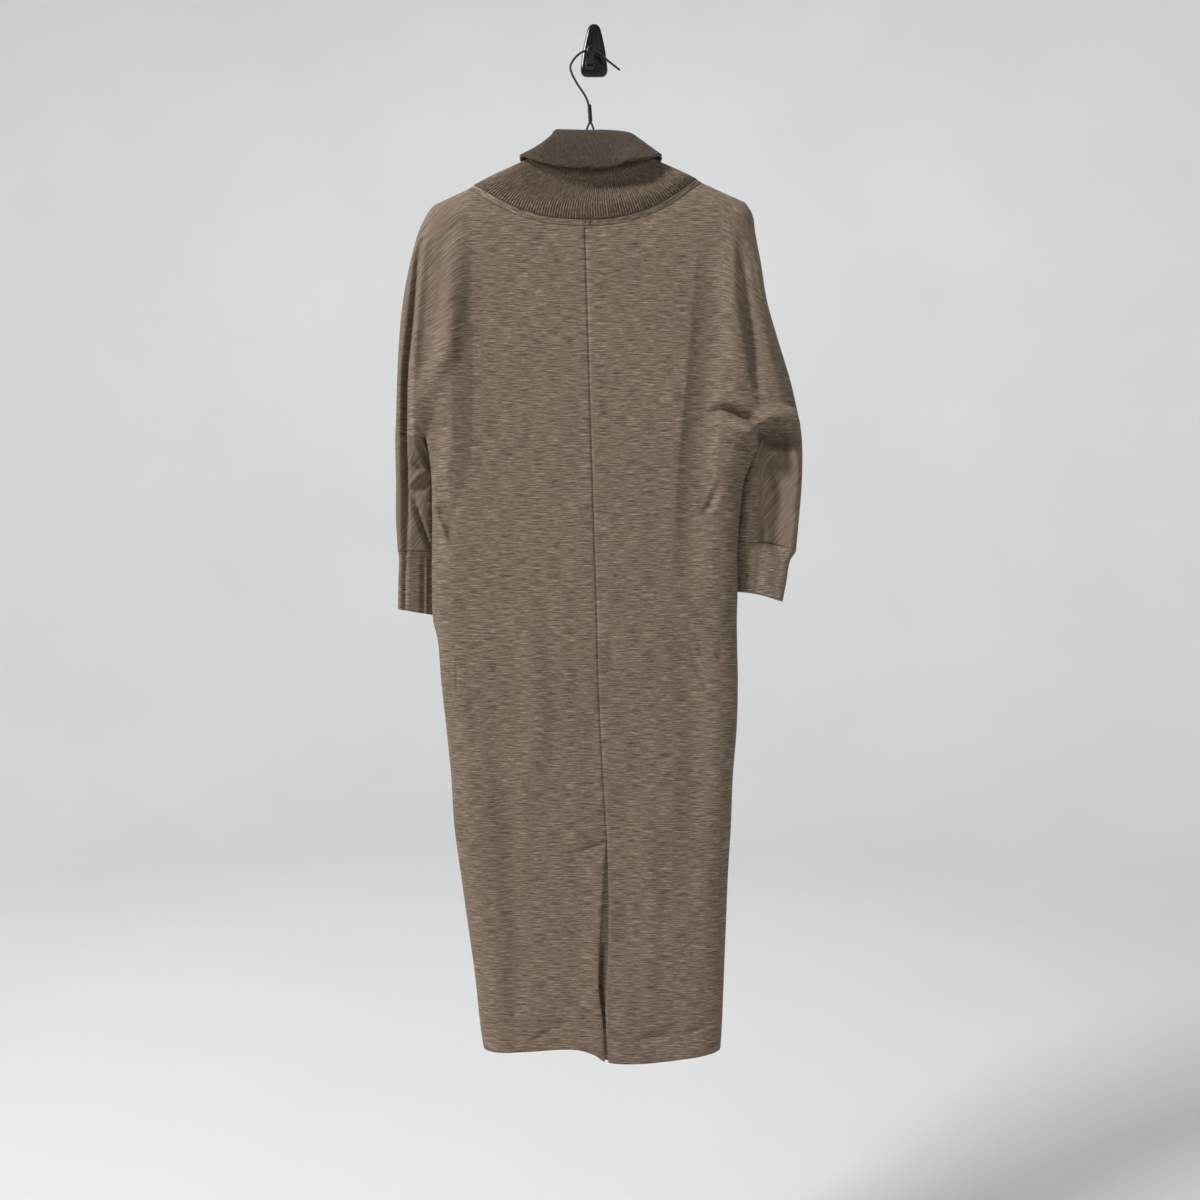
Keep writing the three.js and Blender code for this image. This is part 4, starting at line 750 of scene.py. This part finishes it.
def cuff(side):
    rows = CUFFS[side]
    arc = 0.5 - 0.5 * np.cos(np.linspace(0, math.pi, 49))
    share = np.concatenate([arc, arc[-2:0:-1]])
    back = np.arange(len(share)) <= 48
    v = np.concatenate([np.linspace(0, 0.1, 6), np.linspace(0.12, 0.985, 30), [0.993, 1.0]])[:, None]
    dip = CUFF_SEAM_DIP[side] * np.sin(math.pi * share) * lerp(1, 0.3, smooth(v * 3))
    z = lerp(along(rows, "inner_z", v), along(rows, "outer_z", v), share) + dip
    x = lerp(along(rows, "inner", v), along(rows, "outer", v), share)
    half = along(rows, "half", v)
    grooves = sum(
        deep * np.clip(1 - np.abs(share - at) / wide, 0, 1) ** 1.5 for at, wide, deep in CUFF_GROOVES[side]
    )
    fade = smooth(np.minimum(share, 1 - share) / 0.1)
    top = folds_at("back", side, x, z) * fade
    lift = np.where(back, lerp(top, -grooves, smooth(v * 5)), 0)
    gathers = 0.5 * np.sin(share * 95) * (1 - smooth(v * 7)) * fade
    y = np.where(back, section_y("back", side, share, half, z), section_y("front", side, share, half, z))
    y = y - lift + gathers + np.where(back, 0.9, -0.9) * (1 - smooth(v * 22))
    y = y + np.where(back, 0.8, -0.8) * smooth((v - 0.985) / 0.015)
    y = np.minimum(y, FRONT_Y + 2.5)
    sheet = Cloth()
    around = np.cumsum(np.hypot(np.diff(x[0], prepend=x[0, :1]), np.diff(y[0], prepend=y[0, :1])))
    index = sheet.add(np.stack([x, y, z], axis=-1), np.broadcast_arrays(around[None, :], z))
    sheet.quads(np.hstack([index, index[:, :1]]), side == "right")
    return sheet.build(f"cuff_{side}_cloth", KNIT, CLOTH_THICKNESS)


UNDERLAP = dict(left_x=-24.0, right_x=36.0, top_z=-1006.0, hem_gap=3.0, set_back=2.6)
UNDERLAP_FOLD = ("soft", 7, -9, [(8, -1150), (7, -1200), (11, -1255)])


def vent_underlap():
    share = np.linspace(0, 1, 31)[None, :]
    x = np.broadcast_to(lerp(UNDERLAP["left_x"], UNDERLAP["right_x"], share), (91, 31))
    above_hem = along(HEM, "back", x) + UNDERLAP["hem_gap"]
    z = lerp(UNDERLAP["top_z"], above_hem, np.linspace(0, 1, 91)[:, None])
    deepest = np.maximum(surface_y("back", "right", x, z), surface_y("back", "left", x, z))
    y = deepest + UNDERLAP["set_back"] - fold_rise(UNDERLAP_FOLD, x, z)
    sheet = Cloth()
    index = sheet.add(np.stack([x, y, z], axis=-1), (x, z))
    sheet.quads(index, True)
    return sheet.build("vent_underlap_cloth", KNIT, CLOTH_THICKNESS)


# Hanger and wall hook

HANGER_HOOK = [
    (33.5, -31), (19, -19.5), (6.5, -9), (-5, -4.6), (-16.5, -8.2), (-26, -17), (-30.5, -28.8),
    (-23.3, -45.6), (-11.6, -63.7), (-6.5, -76),
]
TWIST = dict(x=-4.9, top_z=-76.0, bottom_z=-97.0, radius=1.35, turns=3.5)
BAR_Z = {"left": -220.0, "right": -217.0}
BAR_X = (-184.0, 174.0)


def tube(points, radius, sides=14):
    """Vertices and faces of a round wire along points, with closed ends."""
    points = np.array(points, float)
    tangent = unit(np.gradient(points, axis=0))
    normal = np.zeros_like(points)
    across = np.array([0.0, 1.0, 0.0])
    for i, direction in enumerate(tangent):
        across = across - direction * across.dot(direction)
        across = across / np.linalg.norm(across)
        normal[i] = across
    side = np.cross(tangent, normal)
    angle = np.linspace(0, 2 * math.pi, sides, endpoint=False)
    ring = normal[:, None] * np.cos(angle)[:, None] + side[:, None] * np.sin(angle)[:, None]
    taper = np.ones(len(points))
    taper[[0, -1]] = 0.6
    vertices = (points[:, None] + ring * (radius * taper)[:, None, None]).reshape(-1, 3)
    faces = []
    for i in range(len(points) - 1):
        for j in range(sides):
            k = (j + 1) % sides
            faces.append((i * sides + j, i * sides + k, (i + 1) * sides + k, (i + 1) * sides + j))
    faces.append(tuple(range(sides))[::-1])
    faces.append(tuple((len(points) - 1) * sides + j for j in range(sides)))
    return vertices, faces


def joined_piece(name, parts, material):
    vertices, faces = [], []
    for part_vertices, part_faces in parts:
        start = len(vertices)
        vertices.extend(tuple(v * MM) for v in part_vertices)
        faces.extend(tuple(start + i for i in face) for face in part_faces)
    mesh = bpy.data.meshes.new(name)
    mesh.from_pydata(vertices, [], faces)
    mesh.update()
    for polygon in mesh.polygons:
        polygon.use_smooth = True
    mesh.materials.append(material)
    piece = bpy.data.objects.new(name, mesh)
    bpy.context.scene.collection.objects.link(piece)
    return piece


def hanger():
    """Two lengths of one wire: the hook with the left arm, and the rest from the twist round."""
    hook = smooth_path(HANGER_HOOK, 1.6)
    turn = np.linspace(0, 1, 90)

    def strand(start):
        angle = start + 2 * math.pi * TWIST["turns"] * turn
        lean = lerp(-1.2, 0.2, turn)
        return np.stack([
            TWIST["x"] + lean + TWIST["radius"] * np.cos(angle),
            WIRE_Y + TWIST["radius"] * np.sin(angle),
            lerp(TWIST["top_z"], TWIST["bottom_z"], turn),
        ], axis=-1)

    def arm(side):
        s = SIDES[side]
        bend = (BAR_Z[side] - s["end_z"]) / 2
        start = [(TWIST["x"] + s["sign"] * 2.2, -101.0), (TWIST["x"] + s["sign"] * 4, -106.0)]
        start.append((lerp(TWIST["x"], s["arm_x"], 0.8), -113.0))
        straight = [
            (lerp(s["arm_x"], s["end_x"], t), lerp(ARM_TOP_Z, s["end_z"], t)) for t in np.linspace(0, 1, 24)
        ]
        turned = [
            (s["end_x"] - s["sign"] * bend * math.sin(a), s["end_z"] + bend * (1 - math.cos(a)))
            for a in np.linspace(0, math.pi, 16)[1:-1]
        ]
        corner = [(lerp(s["end_x"], 0, 0.05), BAR_Z[side])]
        return [np.array([x, WIRE_Y, z]) for x, z in start + straight + turned + corner]

    first = np.vstack([[(x, WIRE_Y, z) for x, z in hook[:-2]], strand(math.pi / 2)[3:], arm("left")])
    second = np.vstack([strand(-math.pi / 2), arm("right")])
    bar = [
        np.array([lerp(*BAR_X, t), WIRE_Y, lerp(BAR_Z["left"], BAR_Z["right"], t)]) for t in np.linspace(0, 1, 30)
    ]
    return joined_piece("hanger_wire", [tube(line, WIRE_RADIUS) for line in (first, second, bar)], WIRE)


PLATE_EDGE = [
    (0, 34), (3.8, 33.2), (6.6, 30.4), (8.6, 26), (11.6, 14), (14.2, 1), (16.2, -13), (17.4, -24), (16.8, -29),
    (14.4, -32.4), (10.6, -33.8), (5, -34), (0, -34),
]
PLATE_LAYERS = [(0.7, 0.0), (0.0, 0.7), (0.0, 4.4), (0.5, 5.6), (1.6, 6.5), (3.4, 7.0), (6.0, 7.3), (8.0, 7.4)]
FINGER_PATH = [(-4, -22.5), (-10, -23), (-16, -21.5), (-20.5, -17.5), (-22.6, -12), (-23.2, -7), (-23.4, -3.6)]
FINGER_WIDTH = [15.0, 14.4, 13.0, 11.0, 9.2, 8.0, 5.0]
FINGER_THICK = [12.5, 11.0, 8.0, 5.2, 4.0, 3.4, 2.0]


def plate_outline(inset):
    """Edge of the plate, drawn in evenly by an inset."""
    right = smooth_path(PLATE_EDGE, 2.5)
    edge = np.vstack([right, right[-2:0:-1] * [-1, 1]])
    tangent = unit(np.roll(edge, -1, axis=0) - np.roll(edge, 1, axis=0))
    inward = np.stack([tangent[:, 1], -tangent[:, 0]], axis=-1)
    return edge + inward * inset


def wall_hook():
    rings = []
    for inset, depth in PLATE_LAYERS:
        edge = plate_outline(inset)
        rings.append(np.stack([edge[:, 0], np.full(len(edge), -depth), edge[:, 1]], axis=-1))
    count = len(rings[0])
    vertices = np.vstack(rings)
    faces = []
    for r in range(len(rings) - 1):
        for j in range(count):
            k = (j + 1) % count
            faces.append((r * count + j, r * count + k, (r + 1) * count + k, (r + 1) * count + j)[::-1])
    faces.append(tuple(range(count)))
    faces.append(tuple((len(rings) - 1) * count + j for j in range(count))[::-1])

    fine = np.linspace(0, 1, 40)
    knots = np.linspace(0, 1, len(FINGER_PATH))
    path = smooth_path([(y, z) for y, z in FINGER_PATH], 1.0)
    spread = np.linspace(0, 1, len(path))
    centre = np.stack([np.interp(fine, spread, path[:, 0]), np.interp(fine, spread, path[:, 1])], axis=-1)
    tangent = unit(np.gradient(centre, axis=0))
    normal = np.stack([-tangent[:, 1], tangent[:, 0]], axis=-1)
    width = np.interp(fine, knots, FINGER_WIDTH) / 2
    thick = np.interp(fine, knots, FINGER_THICK) / 2
    angle = np.linspace(0, 2 * math.pi, 28, endpoint=False)
    cos, sin = np.cos(angle), np.sin(angle)
    squircle = (np.abs(cos) ** 3 + np.abs(sin) ** 3) ** (-1 / 3)
    sections = []
    for c, n, w, h in zip(centre, normal, width, thick):
        flat = c[None, :] + n[None, :] * (h * squircle * sin)[:, None]
        sections.append(np.stack([-5 + w * squircle * cos, flat[:, 0], flat[:, 1]], axis=-1))
    finger = np.vstack(sections)
    finger_faces = []
    for i in range(len(sections) - 1):
        for j in range(28):
            k = (j + 1) % 28
            finger_faces.append((i * 28 + j, i * 28 + k, (i + 1) * 28 + k, (i + 1) * 28 + j))
    finger_faces.append(tuple(range(28))[::-1])
    finger_faces.append(tuple((len(sections) - 1) * 28 + j for j in range(28)))
    return joined_piece("wall_hook_shell", [(vertices, faces), (finger, finger_faces)], PLASTIC)


# Materials


def shader(name, roughness, color=None):
    material = bpy.data.materials.new(name)
    material.use_nodes = True
    surface = material.node_tree.nodes["Principled BSDF"]
    surface.inputs["Roughness"].default_value = roughness
    if color:
        surface.inputs["Base Color"].default_value = (*color, 1)
    return material, material.node_tree, surface


def attribute(tree, name):
    node = tree.nodes.new("ShaderNodeAttribute")
    node.attribute_type = "GEOMETRY"
    node.attribute_name = name
    return node


def noise(tree, vector, scale, size=1.0, detail=2.0, roughness=0.5):
    """Noise on scaled coordinates: scale is how many features fit in a metre on each axis."""
    mapping = tree.nodes.new("ShaderNodeMapping")
    mapping.inputs["Scale"].default_value = scale
    tree.links.new(vector, mapping.inputs["Vector"])
    node = tree.nodes.new("ShaderNodeTexNoise")
    node.inputs["Scale"].default_value = size
    node.inputs["Detail"].default_value = detail
    node.inputs["Roughness"].default_value = roughness
    tree.links.new(mapping.outputs["Vector"], node.inputs["Vector"])
    return node.outputs["Fac"]


def math_node(tree, operation, a, b):
    node = tree.nodes.new("ShaderNodeMath")
    node.operation = operation
    for socket, value in zip(node.inputs, (a, b)):
        if isinstance(value, (int, float)):
            socket.default_value = value
        else:
            tree.links.new(value, socket)
    return node.outputs["Value"]


def ramp(tree, value, stops):
    node = tree.nodes.new("ShaderNodeValToRGB")
    elements = node.color_ramp.elements
    while len(elements) < len(stops):
        elements.new(0.5)
    for element, (place, color) in zip(elements, stops):
        element.position = place
        element.color = (*color, 1)
    tree.links.new(value, node.inputs["Fac"])
    return node.outputs["Color"]


def multiply_color(tree, color, factor):
    node = tree.nodes.new("ShaderNodeVectorMath")
    node.operation = "SCALE"
    tree.links.new(color, node.inputs[0])
    tree.links.new(factor, node.inputs["Scale"])
    return node.outputs["Vector"]


def bump(tree, height, distance, strength, surface, previous=None):
    node = tree.nodes.new("ShaderNodeBump")
    node.inputs["Strength"].default_value = strength
    node.inputs["Distance"].default_value = distance
    tree.links.new(height, node.inputs["Height"])
    if previous:
        tree.links.new(previous, node.inputs["Normal"])
    tree.links.new(node.outputs["Normal"], surface.inputs["Normal"])
    return node.outputs["Normal"]


KNIT_STOPS = [
    (0.36, (0.065, 0.043, 0.028)), (0.45, (0.150, 0.105, 0.072)),
    (0.54, (0.225, 0.166, 0.121)), (0.65, (0.40, 0.32, 0.25)),
]
RIB_STOPS = [(0.34, (0.10, 0.068, 0.046)), (0.5, (0.19, 0.135, 0.097)), (0.66, (0.33, 0.25, 0.19))]


def yarn(name, stops, streak, grain, painted_groove_shade):
    """Heathered yarn: streaks along the knit rows, finer grain, mottling, loops and soft fuzz, with painted shade
    that darkens the colour by the groove attribute.
    """
    material, tree, surface = shader(name, 0.93)
    surface.inputs["Sheen Weight"].default_value = 0.12
    surface.inputs["Sheen Roughness"].default_value = 0.45
    surface.inputs["Sheen Tint"].default_value = (0.9, 0.84, 0.78, 1)
    surface.inputs["Specular IOR Level"].default_value = 0.22
    cloth = attribute(tree, "cloth").outputs["Vector"]
    long = noise(tree, cloth, streak, detail=3.0, roughness=0.6)
    fine = noise(tree, cloth, grain, detail=2.0, roughness=0.6)
    patches = noise(tree, cloth, (5, 9, 1), detail=3.0)
    weighted = [math_node(tree, "MULTIPLY", part, weight) for part, weight in ((long, 0.62), (fine, 0.38))]
    mixed = math_node(tree, "ADD", *weighted)
    color = ramp(tree, mixed, stops)
    shade = math_node(tree, "ADD", math_node(tree, "MULTIPLY", patches, 0.24), 0.88)
    # Painted shade: the groove attribute darkens the colour in the hollows between ribs.
    if painted_groove_shade:
        groove = math_node(tree, "MULTIPLY", attribute(tree, "groove").outputs["Fac"], painted_groove_shade)
        shade = math_node(tree, "MULTIPLY", shade, math_node(tree, "SUBTRACT", 1.0, groove))
    tree.links.new(multiply_color(tree, color, shade), surface.inputs["Base Color"])
    loops = tree.nodes.new("ShaderNodeTexWave")
    loops.wave_type = "BANDS"
    loops.bands_direction = "Y"
    loops.inputs["Scale"].default_value = 205
    loops.inputs["Distortion"].default_value = 1.6
    loops.inputs["Detail"].default_value = 2
    loops.inputs["Detail Scale"].default_value = 2.4
    tree.links.new(cloth, loops.inputs["Vector"])
    first = bump(tree, loops.outputs["Fac"], 0.00035, 0.35, surface)
    bump(tree, mixed, 0.0011, 0.5, surface, first)
    return material


def wire_material():
    material, tree, surface = shader("black_wire", 0.5, (0.006, 0.006, 0.007))
    place = tree.nodes.new("ShaderNodeTexCoord").outputs["Object"]
    specks = noise(tree, place, (900, 900, 900), detail=3.0)
    shade = ramp(tree, specks, [(0.35, (0.004, 0.004, 0.005)), (0.75, (0.012, 0.012, 0.014))])
    tree.links.new(shade, surface.inputs["Base Color"])
    bump(tree, specks, 0.0002, 0.2, surface)
    return material


def plastic_material():
    material, tree, surface = shader("gloss_plastic", 0.16, (0.008, 0.008, 0.009))
    surface.inputs["Specular IOR Level"].default_value = 0.3
    surface.inputs["Coat Weight"].default_value = 0.15
    surface.inputs["Coat Roughness"].default_value = 0.06
    place = tree.nodes.new("ShaderNodeTexCoord").outputs["Object"]
    cloudy = noise(tree, place, (70, 70, 70), detail=3.0)
    shade = ramp(tree, cloudy, [(0.3, (0.006, 0.006, 0.007)), (0.8, (0.016, 0.016, 0.017))])
    tree.links.new(shade, surface.inputs["Base Color"])
    haze = tree.nodes.new("ShaderNodeMapRange")
    haze.inputs["To Min"].default_value = 0.12
    haze.inputs["To Max"].default_value = 0.26
    tree.links.new(cloudy, haze.inputs["Value"])
    tree.links.new(haze.outputs["Result"], surface.inputs["Roughness"])
    bump(tree, noise(tree, place, (160, 160, 160)), 0.0004, 0.12, surface)
    return material


def backdrop_material():
    material, tree, surface = shader("pale_backdrop", 0.9, (0.78, 0.79, 0.79))
    surface.inputs["Specular IOR Level"].default_value = 0.1
    place = tree.nodes.new("ShaderNodeTexCoord").outputs["Object"]
    faint = noise(tree, place, (1.2, 1.2, 1.2), detail=2.0)
    shade = ramp(tree, faint, [(0.3, (0.77, 0.78, 0.78)), (0.7, (0.80, 0.81, 0.81))])
    tree.links.new(shade, surface.inputs["Base Color"])
    return material


KNIT = yarn("heather_knit", KNIT_STOPS, (50, 760, 1), (120, 1400, 1), 0)
# The rib's colour carries painted shade in its hollows, up to three quarters darker.
RIB = yarn("heather_rib", RIB_STOPS, (275, 150, 1), (600, 700, 1), 0.75)
WIRE = wire_material()
PLASTIC = plastic_material()

# Camera, made first so that everything else is seen in it
camera_data = bpy.data.cameras.new("camera")
camera_data.sensor_width = SENSOR
camera_data.lens = LENS
camera_data.clip_start = 0.05
camera_data.clip_end = 60
camera = bpy.data.objects.new("camera", camera_data)
camera.location = [value * MM for value in CAMERA_PLACE]
camera.rotation_euler = (math.pi / 2, 0, 0)
bpy.context.scene.collection.objects.link(camera)
bpy.context.scene.camera = camera

# The dress
pieces = {
    "back_left": back_half("left"),
    "back_right": back_half("right"),
    "front": front(),
    "neck_band": neck_band(),
    "collar": collar(),
    "cuff_left": cuff("left"),
    "cuff_right": cuff("right"),
    "vent_underlap": vent_underlap(),
    "wire_hanger": hanger(),
    "wall_hook": wall_hook(),
}
for node, piece in pieces.items():
    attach(piece, "root")
    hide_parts(node)

# Plain pale floor, curved up into a backdrop all round
FLOOR_Z = -1.72
FLOOR_RADIUS = 3.4
CURVE_RADIUS = 1.6
BACKDROP_TOP = 3.0


def backdrop():
    curve = np.linspace(0, math.pi / 2, 24)
    profile = [(0.01, FLOOR_Z), (1.2, FLOOR_Z), (2.4, FLOOR_Z)]
    for angle in curve:
        rise = CURVE_RADIUS * (1 - math.cos(angle))
        profile.append((FLOOR_RADIUS + CURVE_RADIUS * math.sin(angle), FLOOR_Z + rise))
    profile.append((FLOOR_RADIUS + CURVE_RADIUS, BACKDROP_TOP))
    sides = 96
    vertices = [
        (r * math.cos(2 * math.pi * j / sides), r * math.sin(2 * math.pi * j / sides), z)
        for r, z in profile for j in range(sides)
    ]
    faces = [
        (i * sides + j, i * sides + (j + 1) % sides, (i + 1) * sides + (j + 1) % sides, (i + 1) * sides + j)
        for i in range(len(profile) - 1) for j in range(sides)
    ]
    mesh = bpy.data.meshes.new("floor")
    mesh.from_pydata(vertices, [], faces)
    for polygon in mesh.polygons:
        polygon.use_smooth = True
    mesh.materials.append(backdrop_material())
    floor = bpy.data.objects.new("floor", mesh)
    bpy.context.scene.collection.objects.link(floor)
    return floor


backdrop()


# Plain soft studio light
def area_light(name, place, size, power, aim=(0.0, -0.03, -0.7)):
    data = bpy.data.lights.new(name, "AREA")
    data.size = size
    data.energy = power
    light = bpy.data.objects.new(name, data)
    light.location = place
    target = np.array(aim) - np.array(place)
    yaw = math.atan2(target[1], target[0]) - math.pi / 2
    pitch = math.atan2(target[2], math.hypot(target[0], target[1]))
    light.rotation_euler = (math.pi / 2 + pitch, 0, yaw)
    bpy.context.scene.collection.objects.link(light)


area_light("key", (-2.6, -1.8, 1.9), 0.8, 152)
area_light("fill", (1.4, -2.9, 0.4), 2.2, 5)
area_light("backdrop", (0.0, 0.9, 2.6), 2.4, 70, aim=(0.0, 4.6, -0.9))

world = bpy.data.worlds.new("studio")
world.use_nodes = True
world.node_tree.nodes["Background"].inputs["Color"].default_value = (0.97, 0.985, 1.0, 1)
world.node_tree.nodes["Background"].inputs["Strength"].default_value = 0.15
bpy.context.scene.world = world
bpy.context.scene.view_settings.view_transform = "Standard"
